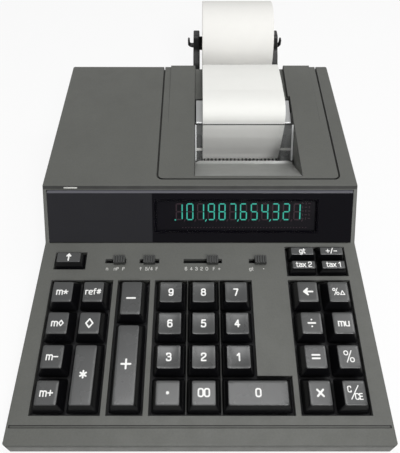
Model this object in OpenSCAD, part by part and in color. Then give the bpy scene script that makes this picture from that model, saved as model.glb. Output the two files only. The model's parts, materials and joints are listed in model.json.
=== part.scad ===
// Desk printing calculator: sloped key deck, lit display, two-spool printer and paper roll on arms.
// Built from the front edge backwards (+Y), table at Z = 0, then centred in depth.

/* [Case] */
// Width across the front edge
case_front_w = 202; // [196:0.5:212]
// Width at the foot of the display face
case_mid_w = 196.4; // [194:0.2:206]
// Width at the rear wall
case_rear_w = 193; // [190:0.5:202]
// Depth from the front edge to the rear wall
case_depth = 259; // [256:0.5:270]
// Height of the front edge above the table
front_h = 14; // [13.6:0.1:17]
// Parting line below the front edge
part_drop = 2.4; // [2.3:0.1:3]
// Wall of the top case and base pan
wall = 2.5; // [2.2:0.1:2.8]
// Slope of the key deck
deck_angle = 8; // [7:0.25:10]
// Length of the key deck along its slope
deck_len = 118.2; // [117.6:0.2:122]
// Slope of the display face
face_angle = 50; // [46:1:54]
// Length of the display face along its slope
face_len = 36.5; // [35.6:0.1:39]
// Slope of the housing top
top_angle = 3.4; // [2.6:0.2:4]
// Plan corner radius at the front
front_r = 1.6; // [1.2:0.2:4]
// Plan corner radius at the rear
rear_r = 1.6; // [1.2:0.2:4]
// Shadow gap at the parting line, height and depth
shadow_gap = 1.3; // [1:0.1:1.4]
// Groove across the deck, distance from the front edge
groove_v = 9.16; // [7.5:0.1:10]
// Groove across the deck, width and depth
groove_w = 0.9; // [0.6:0.1:1.2]

/* [Base] */
// Foot height
foot_h = 3; // [2.5:0.1:3.2]
// Foot radius
foot_r = 7; // [5:0.5:9]
// Foot centre from the side wall
foot_side = 14.5; // [12:0.5:17]
// Front foot centre from the front edge
foot_front = 24; // [20:0.5:28]
// Rear foot centre from the rear wall
foot_rear = 21; // [18:0.5:25]
// Floor thickness of the base pan
floor_t = 2; // [1.6:0.1:2.2]
// Case screw shank radius
screw_r = 1.4; // [1.2:0.1:1.6]
// Case screw head radius
screw_head_r = 2.8; // [2.4:0.1:3]
// Case screw length under the head
screw_len = 6.4; // [5:0.2:7]
// Radius of the screw bosses
boss_r = 3.8; // [3.5:0.1:4.4]
// Ventilation slot width in the floor
vent_w = 3; // [2:0.5:4]

/* [Keys] */
// Left edge of the left-hand key well
keys_x = -89.95; // [-91:0.05:-89]
// Front edge of the key wells along the deck
keys_v = 14.76; // [14.4:0.02:16]
// Column pitch of the number keys
num_pitch = 19.05; // [18.6:0.05:19.2]
// Column pitch of the function keys
fn_pitch = 18; // [17.6:0.1:18.2]
// Row pitch
row_pitch = 19.05; // [18.6:0.05:19.2]
// Bar of deck left between two wells
bar = 3.4; // [3:0.1:4]
// Well margin around a block of keys, both sides together
well_m = 1.04; // [0.8:0.02:1.4]
// Gap between neighbouring key skirts
key_gap = 1.05; // [0.9:0.05:1.4]
// Key top above the deck
key_rise = 6.6; // [5:0.1:8]
// Key skirt below the deck surface
key_skirt = 1.5; // [1:0.1:1.8]
// Inward taper of a key on each side
key_taper = 2.6; // [1.8:0.1:3]
// Wall of a key cap
key_wall = 1.3; // [1:0.1:1.6]
// Radius of the hollow in a number key
dish_r = 26; // [20:1:40]
// Depth of the hollow in a number key
dish_d = 0.8; // [0.4:0.1:0.9]
// Key travel
key_travel = 3; // [2:0.1:3.2]
// Key stem radius
stem_r = 2.5; // [2:0.1:3]
// Running clearance of a key stem in its guide hole
stem_gap = 0.15; // [0.1:0.05:0.3]
// Rib between the number columns, width
rib_w = 0.8; // [0.6:0.1:1]
// Rib between the number columns, height
rib_h = 1.2; // [0.8:0.1:1.3]
// Row pitch of the small keys
small_pitch = 9.35; // [9:0.05:9.5]
// Front edge of the small key well along the deck
small_v = 95.2; // [95:0.1:96]
// Small key top above the deck
small_rise = 5; // [4:0.1:6]
// Front edge of the feed key well along the deck
feed_v = 99.74; // [97:0.1:101]
// Depth of the feed key along the deck
feed_d = 10.2; // [9:0.1:11]

/* [Slide switches] */
// Front edge of the switch slots along the deck
slot_v = 104; // [102:0.2:106]
// Slot width
slot_w = 2.4; // [2:0.1:3]
// Switch knob length across the deck
knob_l = 7; // [6:0.2:8]
// Switch knob depth along the deck
knob_d = 5; // [4:0.2:6]
// Switch knob height
knob_h = 3.6; // [3:0.1:4.5]
// Ridges on a knob
knob_ridges = 5; // [3:1:7]
// Clearance of a switch in its slot
slide_gap = 0.2; // [0.15:0.05:0.3]

/* [Display] */
// Case left beside the window, each side
window_margin = 2.9; // [2.8:0.1:5]
// Window height along the face
window_h = 33; // [32:0.2:34]
// Window thickness
window_t = 1.8; // [1.5:0.1:2.2]
// How far the window stands proud of the face
window_proud = 0.8; // [0.5:0.1:0.9]
// Chamfer along the window's top edge
window_bevel = 1.4; // [0.6:0.1:1.6]
// Centre of the display tube across the face
tube_x = 22.5; // [15:0.5:30]
// Display tube width
tube_w = 101; // [90:1:108]
// Display tube height
tube_h = 22.5; // [20:0.5:24]
// Display tube thickness
tube_t = 6.3; // [5:0.1:7]

/* [Printer cover] */
// Centre line of paper, opening and printer
printer_x = 30.5; // [29:0.5:31]
// Cover width
cover_w = 114; // [110:0.5:115]
// Cover thickness
cover_t = 2.4; // [2:0.1:3]
// Distance of the cover from the top edge of the face
cover_s = 5.8; // [5:0.1:8]
// Gap around the cover
cover_gap = 0.7; // [0.5:0.05:1]
// Front corner radius of the cover
cover_r = 3; // [2:0.5:5]
// Rise of the cover above the housing top at the rear
cover_rise = 1.3; // [0.8:0.1:1.8]
// Seat of the cover in the housing, sides
seat_w = 3; // [2:0.2:4]
// Seat of the cover in the housing, front
seat_front = 1.6; // [1.2:0.1:1.8]
// Width of the paper opening
open_w = 68; // [66:0.2:70]
// Front edge of the paper opening
open_s = 8; // [7.6:0.1:9]
// Rear edge of the paper opening
open_end_s = 83.6; // [82:0.2:86]
// Depth of the paper channel behind the opening
channel_d = 2; // [1.4:0.1:2.4]
// Depth of the cheeks beside the opening
cheek_h = 14; // [10:0.5:16]
// Thickness of the cheeks
cheek_t = 1.5; // [1.2:0.1:1.6]

/* [Tear window] */
// Thickness of the clear plastic
pane_t = 1.6; // [1.2:0.1:2]
// Length of its front slope
slope_len = 36; // [34:0.5:37]
// Fall of its front slope
slope_angle = 30; // [27:0.5:32]
// Height of the upright pane
pane_len = 26.4; // [24:0.2:27]
// Lean of the upright pane
pane_angle = 50.5; // [48:0.5:54]
// Pitch of the tear teeth
tooth_pitch = 1.6; // [1.2:0.1:3]
// Step down halfway along the front slope
slope_step = 0.5; // [0.3:0.1:0.7]

/* [Paper] */
// Paper width
paper_w = 57.15; // [56:0.05:58]
// Paper thickness in the solid
paper_t = 0.2; // [0.15:0.01:0.25]
// Roll radius
roll_r = 33; // [28:0.5:33.5]
// Roll core bore radius
core_r = 5.58; // [5.4:0.02:6]
// Roll axis behind the rear wall
roll_back = 58.7; // [56:0.5:62]
// Roll axis above the table
roll_z = 50.8; // [50:0.2:54]
// Crest of the printed sheet above the housing top
sheet_crest = 6.4; // [5:0.2:9]
// Length of the loose tail below the housing top
tail_len = 18; // [12:1:22]

/* [Roll holder] */
// Clear width between the arms
arm_gap = 61.4; // [60.6:0.2:64]
// Arm thickness
arm_t = 5.6; // [4:0.2:7]
// Taper of the left arm towards its top, each side
arm_taper_left = 0.3; // [0:0.1:1]
// Taper of the right arm towards its top, each side
arm_taper_right = 1.2; // [0:0.1:1.5]
// Arm top above the roll axis
arm_top = 9.5; // [8.5:0.5:14]
// Half width of an arm at the roll axis
arm_half = 8; // [7:0.5:10]
// Running clearance of the bosses in the roll core
core_gap = 0.08; // [0.05:0.01:0.1]
// Boss length
boss_l = 4; // [3.4:0.1:5]
// Reach of the left hook
hook_left = 4.6; // [3:0.2:6]
// Reach of the right hook
hook_right = 3; // [2:0.2:4]
// Width of the hooks along the arm
hook_w = 4.6; // [3:0.2:6]
// Crossbar height above the paper inlet
holder_bar_h = 10; // [8:0.5:12]
// Crossbar thickness
holder_bar_t = 3.6; // [3:0.1:4]

/* [Printer] */
// Platen axis behind the front edge of the cover opening
platen_back = 61; // [60:0.5:62]
// Platen axis above the table
platen_z = 21.5; // [20.5:0.1:23]
// Platen radius
platen_r = 6.5; // [6:0.1:7]
// Platen shaft radius
shaft_r = 2; // [1.6:0.1:2.4]
// Running clearance of shafts in the side plates
shaft_gap = 0.05; // [0.03:0.01:0.08]
// Clear width between the side plates
frame_w = 74.6; // [73:0.2:76]
// Sheet metal thickness of the printer frame
sheet_t = 1.6; // [1.2:0.1:2]
// Height of the side plates above the table
side_h = 55; // [50:0.5:56]
// Clearance of the guide plate beside the paper opening
guide_side = 0.6; // [0.5:0.1:2.5]
// Feed shaft radius
feed_r = 1.1; // [0.9:0.1:1.3]
// Feed shaft above the platen axis
feed_up = 8.6; // [8.4:0.1:11]
// Gear module
gear_m = 1; // [0.8:0.05:1.1]
// Teeth of the platen gear
platen_teeth = 24; // [22:2:24]
// Teeth of the drive gear
drive_teeth = 16; // [14:2:18]
// Gear face width
gear_w = 4; // [3:0.2:4.4]
// Lean of the drive gear behind the platen
gear_lean = 52; // [48:1:66]
// Room between the motor and the rear wall
motor_clear = 3; // [2.6:0.1:4]
// Motor radius
motor_r = 10; // [8:0.5:11]
// Motor length
motor_l = 20; // [16:0.5:22]
// Carriage rod radius
rod_r = 1.5; // [1.2:0.1:1.8]
// Print head width
head_w = 14; // [12:0.5:16]
// Ribbon spool radius
spool_r = 13.5; // [12:0.5:14]
// Ribbon spool height
spool_h = 14; // [11:0.5:15]
// Distance between the spool posts
spool_pitch = 34; // [30:0.5:38]
// Ribs on the ribbon mask
mask_ribs = 20; // [12:1:26]

/* [Boards] */
// Room between a pressed key's skirt and the keyboard plate
plate_clear = 1.5; // [1:0.1:1.8]
// Keyboard plate thickness
plate_t = 1.4; // [1.2:0.1:1.6]
// Main board width
board_w = 48; // [44:0.5:50]
// Main board depth
board_d = 118; // [110:1:120]
// Main board from the side and rear walls
board_inset = 2; // [1.5:0.1:4]
// Transformer height above the board
transformer_h = 28.4; // [24:0.2:30]
// Main board thickness
board_t = 1.6; // [1.2:0.1:2]
// Main board above the floor of the base pan
board_up = 4; // [3:0.2:6]

/* [Hidden] */
$fn = 48;
part_z = front_h - part_drop;
plate_n = key_skirt + key_travel + plate_clear;
floor_z = foot_h + floor_t;
deck_y = deck_len * cos(deck_angle);
deck_z = front_h + deck_len * sin(deck_angle);
face_y = deck_y + face_len * cos(face_angle);
face_z = deck_z + face_len * sin(face_angle);
roll_y = case_depth + roll_back;
y_shift = -(roll_y + roll_r) / 2;
function top_z(y) = face_z + (y - face_y) * tan(top_angle);
rear_z = top_z(case_depth);

// outlines with rounded corners, each corner as [x, y, radius]
function unit(v) = v / norm(v);
function flat(p) = [p[0], p[1]];
function corner(p, q, s, r, n = 5) = r == 0 ? [q] :
  let (a = unit(p - q), b = unit(s - q), h = acos(a * b) / 2, c = q + unit(a + b) * r / sin(h),
       u = q + a * r / tan(h) - c, w = q + b * r / tan(h) - c, t = 180 - 2 * h)
  [for (i = [0:n]) c + (sin(t * (1 - i / n)) * u + sin(t * i / n) * w) / sin(t)];
function rounded(p) = let (n = len(p))
  [for (i = [0:n - 1]) each corner(flat(p[(i + n - 1) % n]), flat(p[i]), flat(p[(i + 1) % n]), p[i][2])];
function meet(p, a, q, b) = let (u = [cos(a), sin(a)], w = [cos(b), sin(b)], d = q - p)
  p + u * (d[0] * w[1] - d[1] * w[0]) / (u[0] * w[1] - u[1] * w[0]);
function case_plan(i) = rounded([
  [-case_front_w / 2 + i, i, max(front_r - i, 0.4)], [case_front_w / 2 - i, i, max(front_r - i, 0.4)],
  [case_mid_w / 2 - i, deck_y, 0], [case_rear_w / 2 - i, case_depth - i, max(rear_r - i, 0.4)],
  [-case_rear_w / 2 + i, case_depth - i, max(rear_r - i, 0.4)], [-case_mid_w / 2 + i, deck_y, 0]]);
case_side = [[0, part_z], [0, front_h], [deck_y, deck_z], [face_y, face_z], [case_depth, rear_z], [case_depth, part_z]];
in_deck = [0, front_h - wall / cos(deck_angle)];
in_face = [deck_y + wall * sin(face_angle), deck_z - wall * cos(face_angle)];
in_top = [face_y, face_z - wall / cos(top_angle)];
case_inside = [[wall, part_z - 1], [wall, in_deck[1] + wall * tan(deck_angle)], meet(in_deck, deck_angle, in_face, face_angle),
  meet(in_face, face_angle, in_top, top_angle), [case_depth - wall, top_z(case_depth - wall) - wall / cos(top_angle)], [case_depth - wall, part_z - 1]];

// key wells across the deck
well_left = keys_x;
well_mid = well_left + 2 * fn_pitch + well_m + bar;
well_num = well_mid + fn_pitch + well_m + bar;
well_right = well_num + 4 * num_pitch + well_m + bar;
well_end = keys_v + 4 * row_pitch + well_m;
keys_end = well_right + 2 * fn_pitch + well_m;

// name, column start, column pitch, columns, row start, rows, style (0 plain, 1 hollowed, 2 small, 3 feed)
function block(x, v, pitch, list) = [for (k = list)
  [k[0], x + well_m / 2 + (k[1] + k[2] / 2) * pitch, v + well_m / 2 + (k[3] + k[4] / 2) * row_pitch,
   k[2] * pitch - key_gap, k[4] * row_pitch - key_gap, k[5]]];
left_keys = [["key_m_plus", 0, 1, 0, 1, 0], ["key_m_minus", 0, 1, 1, 1, 0], ["key_m_subtotal", 0, 1, 2, 1, 0], ["key_m_total", 0, 1, 3, 1, 0],
  ["key_total", 1, 1, 0, 2, 0], ["key_subtotal", 1, 1, 2, 1, 0], ["key_ref", 1, 1, 3, 1, 0]];
mid_keys = [["key_plus", 0, 1, 0, 2.6, 0], ["key_minus", 0, 1, 2.6, 1.4, 0]];
num_keys = [["key_point", 0, 1, 0, 1, 0], ["key_00", 1, 1, 0, 1, 0], ["key_0", 2, 2, 0, 1, 0],
  for (r = [0:2]) for (c = [0:2]) [str("key_", 3 * r + 3 - c), c, 1, r + 1, 1, 1]];
right_keys = [["key_times", 0, 1, 0, 1, 0], ["key_equals", 0, 1, 1, 1, 0], ["key_divide", 0, 1, 2, 1, 0], ["key_back", 0, 1, 3, 1, 0],
  ["key_clear", 1, 1, 0, 1, 0], ["key_percent", 1, 1, 1, 1, 0], ["key_markup", 1, 1, 2, 1, 0], ["key_delta", 1, 1, 3, 1, 0]];
small_names = [["key_tax2", 0, 0], ["key_tax1", 1, 0], ["key_grand_total", 0, 1], ["key_sign", 1, 1]];
small_keys = [for (k = small_names) [k[0], well_right + well_m / 2 + (k[1] + 0.5) * fn_pitch,
  small_v + well_m / 2 + (k[2] + 0.5) * small_pitch, fn_pitch - key_gap, small_pitch - key_gap, 2]];
feed_key = ["key_feed", keys_x + well_m / 2 + fn_pitch / 2, feed_v + well_m / 2 + feed_d / 2, fn_pitch - key_gap / 2, feed_d - key_gap / 2, 3];
KEYS = concat(block(well_left, keys_v, fn_pitch, left_keys), block(well_mid, keys_v, fn_pitch, mid_keys),
  block(well_num, keys_v, num_pitch, num_keys), block(well_right, keys_v, fn_pitch, right_keys), small_keys, [feed_key]);

// name, slot start, slot end, knob centre across the deck
SLIDERS = [["slider_print", -58.5, -46.1, -49.8], ["slider_round", -37.2, -25.5, -31.3],
  ["slider_decimal", -9.9, 13.4, 7.7], ["slider_total", 30.6, 41.1, 37.4]];
neck_l = 3.6;

// printer
open_y = face_y + open_s * cos(top_angle);
platen_y = open_y + platen_back;
frame_front = open_y + 6;
frame_rear = platen_y + 17;
plate_x = frame_w / 2;
feed_y = platen_y - 4.3;
gear_d = gear_m * (platen_teeth + drive_teeth) / 2;
gear_dir = acos(min(cos(gear_lean), (case_depth - wall - motor_clear - motor_r - platen_y) / gear_d));
drive_y = platen_y + gear_d * cos(gear_dir);
drive_z = platen_z + gear_d * sin(gear_dir);
spool_y = open_y + 21.5;
spool_z = 20;
rod_back = 16;
rod_step = 8;
rod_z = 14;
mask_z = 24.5;
wrap_r = platen_r + 0.4 + paper_t / 2;
sheet_y = platen_y - wrap_r;
head_home = -20;
inlet_z = part_z + 1.6;
inlet_h = 14;
inlet_w = paper_w + 5;
holder_z = inlet_z + inlet_h + 3;
boss_xy = [[-case_front_w / 2 + 10, 6.6], [case_front_w / 2 - 10, 6.6], [-case_rear_w / 2 + 9, case_depth - 9], [case_rear_w / 2 - 9, case_depth - 9]];
foot_xy = [for (d = [-1, 1]) [d * (case_front_w / 2 - foot_side - 2.5), foot_front], for (d = [-1, 1]) [d * (case_rear_w / 2 - foot_side), case_depth - foot_rear]];
boss_z = floor_z + 3;
board_x = -case_rear_w / 2 + wall + board_inset;
board_y = case_depth - wall - board_inset - 8.5 - board_d;
function board_at(a, b) = [board_x + a * board_w, board_y + b * board_d];
board_box = [board_at(0, 0), board_at(1, 1)];
window_w = case_mid_w - 2 * window_margin;
vent_x = case_mid_w / 2 - 16.2;

// sheet path, back to front to back: under the platen, up past the tear edge, over the cover, down behind the case
web_in = [roll_y, roll_z - roll_r - 0.4 - paper_t / 2];
sheet_rise = [[sheet_y, platen_z], [sheet_y - 0.4, mask_z + 4], [sheet_y - 1.6, 36], [sheet_y - 2.8, 46], [sheet_y - 3.2, 55]];
function over(t) = let (p = [[sheet_y - 3.2, 55], [sheet_y - 3.4, top_z(sheet_y) + sheet_crest - 1], [sheet_y + 4, top_z(sheet_y + 20) + sheet_crest + 1.5], [sheet_y + 21, top_z(sheet_y + 20) + sheet_crest]])
  let (u = 1 - t) u * u * u * p[0] + 3 * u * u * t * p[1] + 3 * u * t * t * p[2] + t * t * t * p[3];
tail_y = case_depth + 6;
function back(t) = let (p = [over(1), [sheet_y + 38, top_z(sheet_y + 20) + sheet_crest + 0.2], [case_depth - 4, rear_z + 1.6 + channel_d], [case_depth + 2.4, rear_z + 0.4]])
  let (u = 1 - t) u * u * u * p[0] + 3 * u * u * t * p[1] + 3 * u * t * t * p[2] + t * t * t * p[3];
web_line = [web_in, for (i = [0:6]) [platen_y, platen_z] + wrap_r * [cos(270 - 15 * i), sin(270 - 15 * i)],
  for (i = [1:4]) sheet_rise[i], for (i = [1:8]) over(i * 0.1)];
tail_line = [for (i = [8.2, 9, 10]) over(i * 0.1), for (i = [1:8]) back(i / 8),
  [case_depth + 4.6, rear_z - 2.6], [case_depth + 5.6, rear_z - 6.4], [tail_y, rear_z - tail_len]];
function side_of(p, i) = let (n = len(p), d = unit(p[min(i + 1, n - 1)] - p[max(i - 1, 0)])) [-d[1], d[0]];
function strip(p, t) = [for (i = [0:len(p) - 1]) p[i] + side_of(p, i) * t / 2, for (i = [len(p) - 1:-1:0]) p[i] - side_of(p, i) * t / 2];

module place() translate([0, y_shift, 0]) children();
module on_deck(x, v, n = 0) place() translate([x, v * cos(deck_angle), front_h + v * sin(deck_angle)]) rotate([deck_angle, 0, 0]) translate([0, 0, n]) children();
module on_face(x, s, n = 0) place() translate([x, deck_y + s * cos(face_angle), deck_z + s * sin(face_angle)]) rotate([face_angle, 0, 0]) translate([0, 0, n]) children();
module on_top(x, s, n = 0) place() translate([x, face_y + s * cos(top_angle), face_z + s * sin(top_angle)]) rotate([top_angle, 0, 0]) translate([0, 0, n]) children();
module slab(x0, x1, y0, y1, z0, z1) translate([x0, y0, z0]) cube([x1 - x0, y1 - y0, z1 - z0]);
module across(p, w, x = 0) translate([x, 0, 0]) rotate([90, 0, 90]) linear_extrude(height = w, center = true) polygon(p);
module axle(x, y, z) translate([x, y, z]) rotate([90, 0, 90]) children();

cover_len = (case_depth - face_y) / cos(top_angle) - cover_s;
module cover_outline(e, z0, z1, rear = 0) translate([0, 0, z0]) linear_extrude(height = z1 - z0) polygon(rounded([
  [printer_x - cover_w / 2 - e, cover_s - e, cover_r + e], [printer_x + cover_w / 2 + e, cover_s - e, cover_r + e],
  [printer_x + cover_w / 2 + e, cover_s + cover_len + rear, 0], [printer_x - cover_w / 2 - e, cover_s + cover_len + rear, 0]]));

module well(x0, x1, v0, v1) slab(x0, x1, v0, v1, -wall - 4, 2);
module wells() {
  on_deck(0, 0) {
    well(well_left, well_left + 2 * fn_pitch + well_m, keys_v, well_end);
    well(well_mid, well_mid + fn_pitch + well_m, keys_v, well_end);
    well(well_num, well_num + 3 * num_pitch + well_m, keys_v, well_end);
    well(well_num, well_num + 4 * num_pitch + well_m, keys_v, keys_v + row_pitch + well_m);
    well(well_right, keys_end, keys_v, well_end);
    well(well_right, keys_end, small_v, small_v + 2 * small_pitch + well_m);
    well(keys_x, keys_x + fn_pitch + well_m, feed_v, feed_v + feed_d + well_m);
    for (s = SLIDERS) well(s[1], s[2], slot_v, slot_v + slot_w);
    slab(-case_mid_w / 2 - 1, case_mid_w / 2 + 1, groove_v - groove_w / 2, groove_v + groove_w / 2, -groove_w, 1);
  }
}
module deck_ribs() on_deck(0, 0) {
  for (x = [keys_x - 2.6, keys_end + 1.2]) slab(x, x + 1.4, keys_v - 2, well_end + 14, -plate_n, -wall / 2);
  slab(keys_x, keys_end, keys_v - 2.2, keys_v - 0.8, -plate_n, -wall / 2);
  slab(keys_x + 2, well_right - 1, well_end + 1, well_end + 2.4, -plate_n, -wall / 2);
  for (c = [1, 2]) slab(well_num + well_m / 2 + c * num_pitch - rib_w / 2, well_num + well_m / 2 + c * num_pitch + rib_w / 2, keys_v - 1, well_end + 1, -rib_h - 0.2, -0.2);
}

module top_case() color("dimgray") difference() {
  union() {
    place() difference() {
      intersection() {
        translate([0, 0, part_z]) linear_extrude(height = rear_z) polygon(case_plan(0));
        across(case_side, case_front_w + 10);
      }
      intersection() {
        translate([0, 0, part_z - 2]) linear_extrude(height = rear_z) polygon(case_plan(wall));
        across(case_inside, case_front_w + 10);
      }
      translate([0, 0, part_z - 1]) linear_extrude(height = shadow_gap + 1) difference() {
        square([2 * case_front_w, 3 * case_depth], center = true);
        polygon(case_plan(shadow_gap));
      }
    }
    intersection() {
      on_top(0, 0) cover_outline(seat_w, -cover_t - 3, -1, -wall / 2);
      place() across(case_side, case_front_w + 10);
    }
    place() intersection() {
      for (p = boss_xy) translate([p[0], p[1], boss_z]) cylinder(r = boss_r, h = rear_z);
      translate([0, 0, part_z - 8]) linear_extrude(height = rear_z) polygon(case_plan(wall / 2));
      across([[0, 0], [0, front_h - 1], [deck_y, deck_z - 1], [face_y, face_z - 1], [case_depth - 1, rear_z - 1], [case_depth - 1, 0]], case_front_w + 10);
    }
    deck_ribs();
    place() axle(0, 0, 0) translate([case_depth, 0, 0]) translate([-0.5, holder_z - 9.6, -70]) rotate([0, 90, 0]) cylinder(r = 5.6, h = 3);
  }
  wells_without_ribs();
  on_top(0, 0) {
    cover_outline(cover_gap, -cover_t, 4, 4);
    slab(printer_x - cover_w / 2 + seat_w, printer_x + cover_w / 2 - seat_w, cover_s + seat_front, cover_s + cover_len - wall, -12, 1);
    slab(printer_x - open_w / 2 - 3, printer_x + open_w / 2 + 3, cover_s + cover_len - wall - 2, cover_s + cover_len + 4, -channel_d - cover_t - 0.4, 1);
  }
  on_face(0, 0) {
    slab(-window_w / 2 - 0.1, window_w / 2 + 0.1, 0.3, 0.5 + window_h, window_proud - window_t, 4);
    slab(tube_x - tube_w / 2 - 2, tube_x + tube_w / 2 + 2, 6, 28, -wall - 1, 1);
  }
  place() {
    for (p = boss_xy) translate([p[0], p[1], boss_z - 1]) cylinder(r = screw_r, h = screw_len - 2.2);
    slab(printer_x - inlet_w / 2, printer_x + inlet_w / 2, case_depth - wall - 1, case_depth + 1, inlet_z, inlet_z + inlet_h);
    translate([-70, case_depth - wall - 2, holder_z - 9.6]) rotate([-90, 0, 0]) cylinder(r = 3.6, h = wall + 8);
  }
}
module wells_without_ribs() difference() {
  wells();
  on_deck(0, 0) for (c = [1, 2]) slab(well_num + well_m / 2 + c * num_pitch - rib_w / 2, well_num + well_m / 2 + c * num_pitch + rib_w / 2, keys_v - 1, well_end + 1, -rib_h - 0.2, -0.2);
}

module base_pan() color("dimgray") place() difference() {
  union() {
    difference() {
      translate([0, 0, foot_h]) linear_extrude(height = part_z - foot_h) polygon(case_plan(0));
      translate([0, 0, floor_z]) linear_extrude(height = part_z) polygon(case_plan(wall));
    }
    for (p = boss_xy) translate([p[0], p[1], foot_h]) cylinder(r = boss_r, h = boss_z - foot_h);
    for (x = [board_box[0][0] + 4, board_box[1][0] - 4]) for (y = [board_box[0][1] + 4, board_box[1][1] - 4])
      translate([x, y, floor_z - 0.5]) cylinder(r = 3, h = board_up + 0.5);
  }
  for (p = boss_xy) translate([p[0], p[1], foot_h - 1]) {
    cylinder(r = screw_r + 0.3, h = 12);
    cylinder(r = screw_head_r + 0.3, h = 1 + floor_t);
  }
  for (d = [-1, 1]) for (i = [0:7]) translate([d * (vent_x - 3 * vent_w * i), 0, 0]) slab(-vent_w / 2, vent_w / 2, 60, 96, foot_h - 1, floor_z + 1);
}

module feet() color("black") place() for (p = foot_xy) translate([p[0], p[1], 0]) {
  translate([0, 0, 1]) cylinder(r = foot_r, h = foot_h - 1);
  cylinder(r1 = foot_r - 1, r2 = foot_r, h = 1);
}

module screws() color("silver") place() for (p = boss_xy) translate([p[0], p[1], foot_h + floor_t]) difference() {
  union() {
    translate([0, 0, -floor_t + 0.3]) cylinder(r = screw_head_r, h = floor_t - 0.3);
    cylinder(r = screw_r - 0.02, h = screw_len - 0.6);
  }
  for (a = [0, 90]) rotate([0, 0, a]) slab(-1.8, 1.8, -0.35, 0.35, -floor_t - 1, -floor_t + 1.1);
}

module display_window() color("black") on_face(0, 0) across([[0.4, window_proud - window_t], [0.4 + window_h, window_proud - window_t], [0.4 + window_h, window_proud - window_bevel * 0.7],
  [0.4 + window_h - window_bevel, window_proud], [0.4, window_proud]], window_w);

module display_tube() color("darkslategray") on_face(tube_x, 6 + tube_h / 2 - 0.6, -wall - 0.05) {
  slab(-tube_w / 2 - 3, tube_w / 2 + 3, -tube_h / 2 - 1, tube_h / 2 + 1, -tube_t, 0);
  slab(-tube_w / 2, tube_w / 2, -tube_h / 2 + 1, tube_h / 2 - 1, -0.1, wall + window_proud - window_t - 0.4);
}

module printer_cover() color("dimgray") difference() {
  union() {
    on_top(0, 0) cover_outline(0, -cover_t, 0);
    on_top(0, 0) across([[cover_s + cover_len * 0.45, -1], [cover_s + cover_len * 0.45, 0], [cover_s + cover_len, cover_rise], [cover_s + cover_len, -1]], cover_w - 9, printer_x);
    on_top(0, 0) slab(printer_x - open_w / 2 - 2, printer_x + open_w / 2 + 2, open_end_s, cover_s + cover_len, -channel_d - cover_t, -1);
    on_top(0, 0) for (x = [printer_x - open_w / 2 - cheek_t, printer_x + open_w / 2])
      across([[open_s, -1], [open_s + 4, -cheek_h * 0.45], [open_s + 20, -cheek_h], [open_s + 44, -cheek_h], [open_s + 48, -1]], cheek_t, x + cheek_t / 2);
  }
  on_top(0, 0) {
    slab(printer_x - open_w / 2, printer_x + open_w / 2, open_s, open_end_s, -cheek_h - 4, 4);
    slab(printer_x - open_w / 2, printer_x + open_w / 2 - 1.4, open_end_s - 1, cover_s + cover_len + 1, -channel_d, 6);
  }
}

pane_foot = [open_y + 0.2 + slope_len * cos(slope_angle), top_z(open_y) - 0.2 - slope_len * sin(slope_angle)];
pane_top = pane_foot + pane_len * [cos(pane_angle), sin(pane_angle)];
module tear_window() color("lightgray", 0.5) place() {
  slope_in = pane_t * [-sin(slope_angle), -cos(slope_angle)];
  pane_in = pane_t * [-sin(pane_angle), cos(pane_angle)];
  brow = [open_y + 0.2, top_z(open_y) - 0.2];
  fold = brow + slope_len / 2 * [cos(slope_angle), -sin(slope_angle)];
  sunk = slope_step * [-sin(slope_angle), -cos(slope_angle)];
  inner = meet(fold + sunk, -slope_angle, pane_foot + pane_in, pane_angle);
  difference() {
    across([brow, fold, fold + sunk, inner, pane_top + pane_in, pane_top, pane_foot + [0.4, slope_in[1]], brow + [0, -pane_t / cos(slope_angle)]], open_w - 0.1, printer_x);
    for (i = [0:floor(open_w / tooth_pitch) - 1]) translate([printer_x - open_w / 2 + (i + 0.5) * tooth_pitch, pane_top[0], pane_top[1]]) rotate([pane_angle - 90, 0, 0])
      rotate([90, 45, 0]) cube([tooth_pitch * 0.5, tooth_pitch * 0.5, 4 * pane_t], center = true);
  }
}

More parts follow.
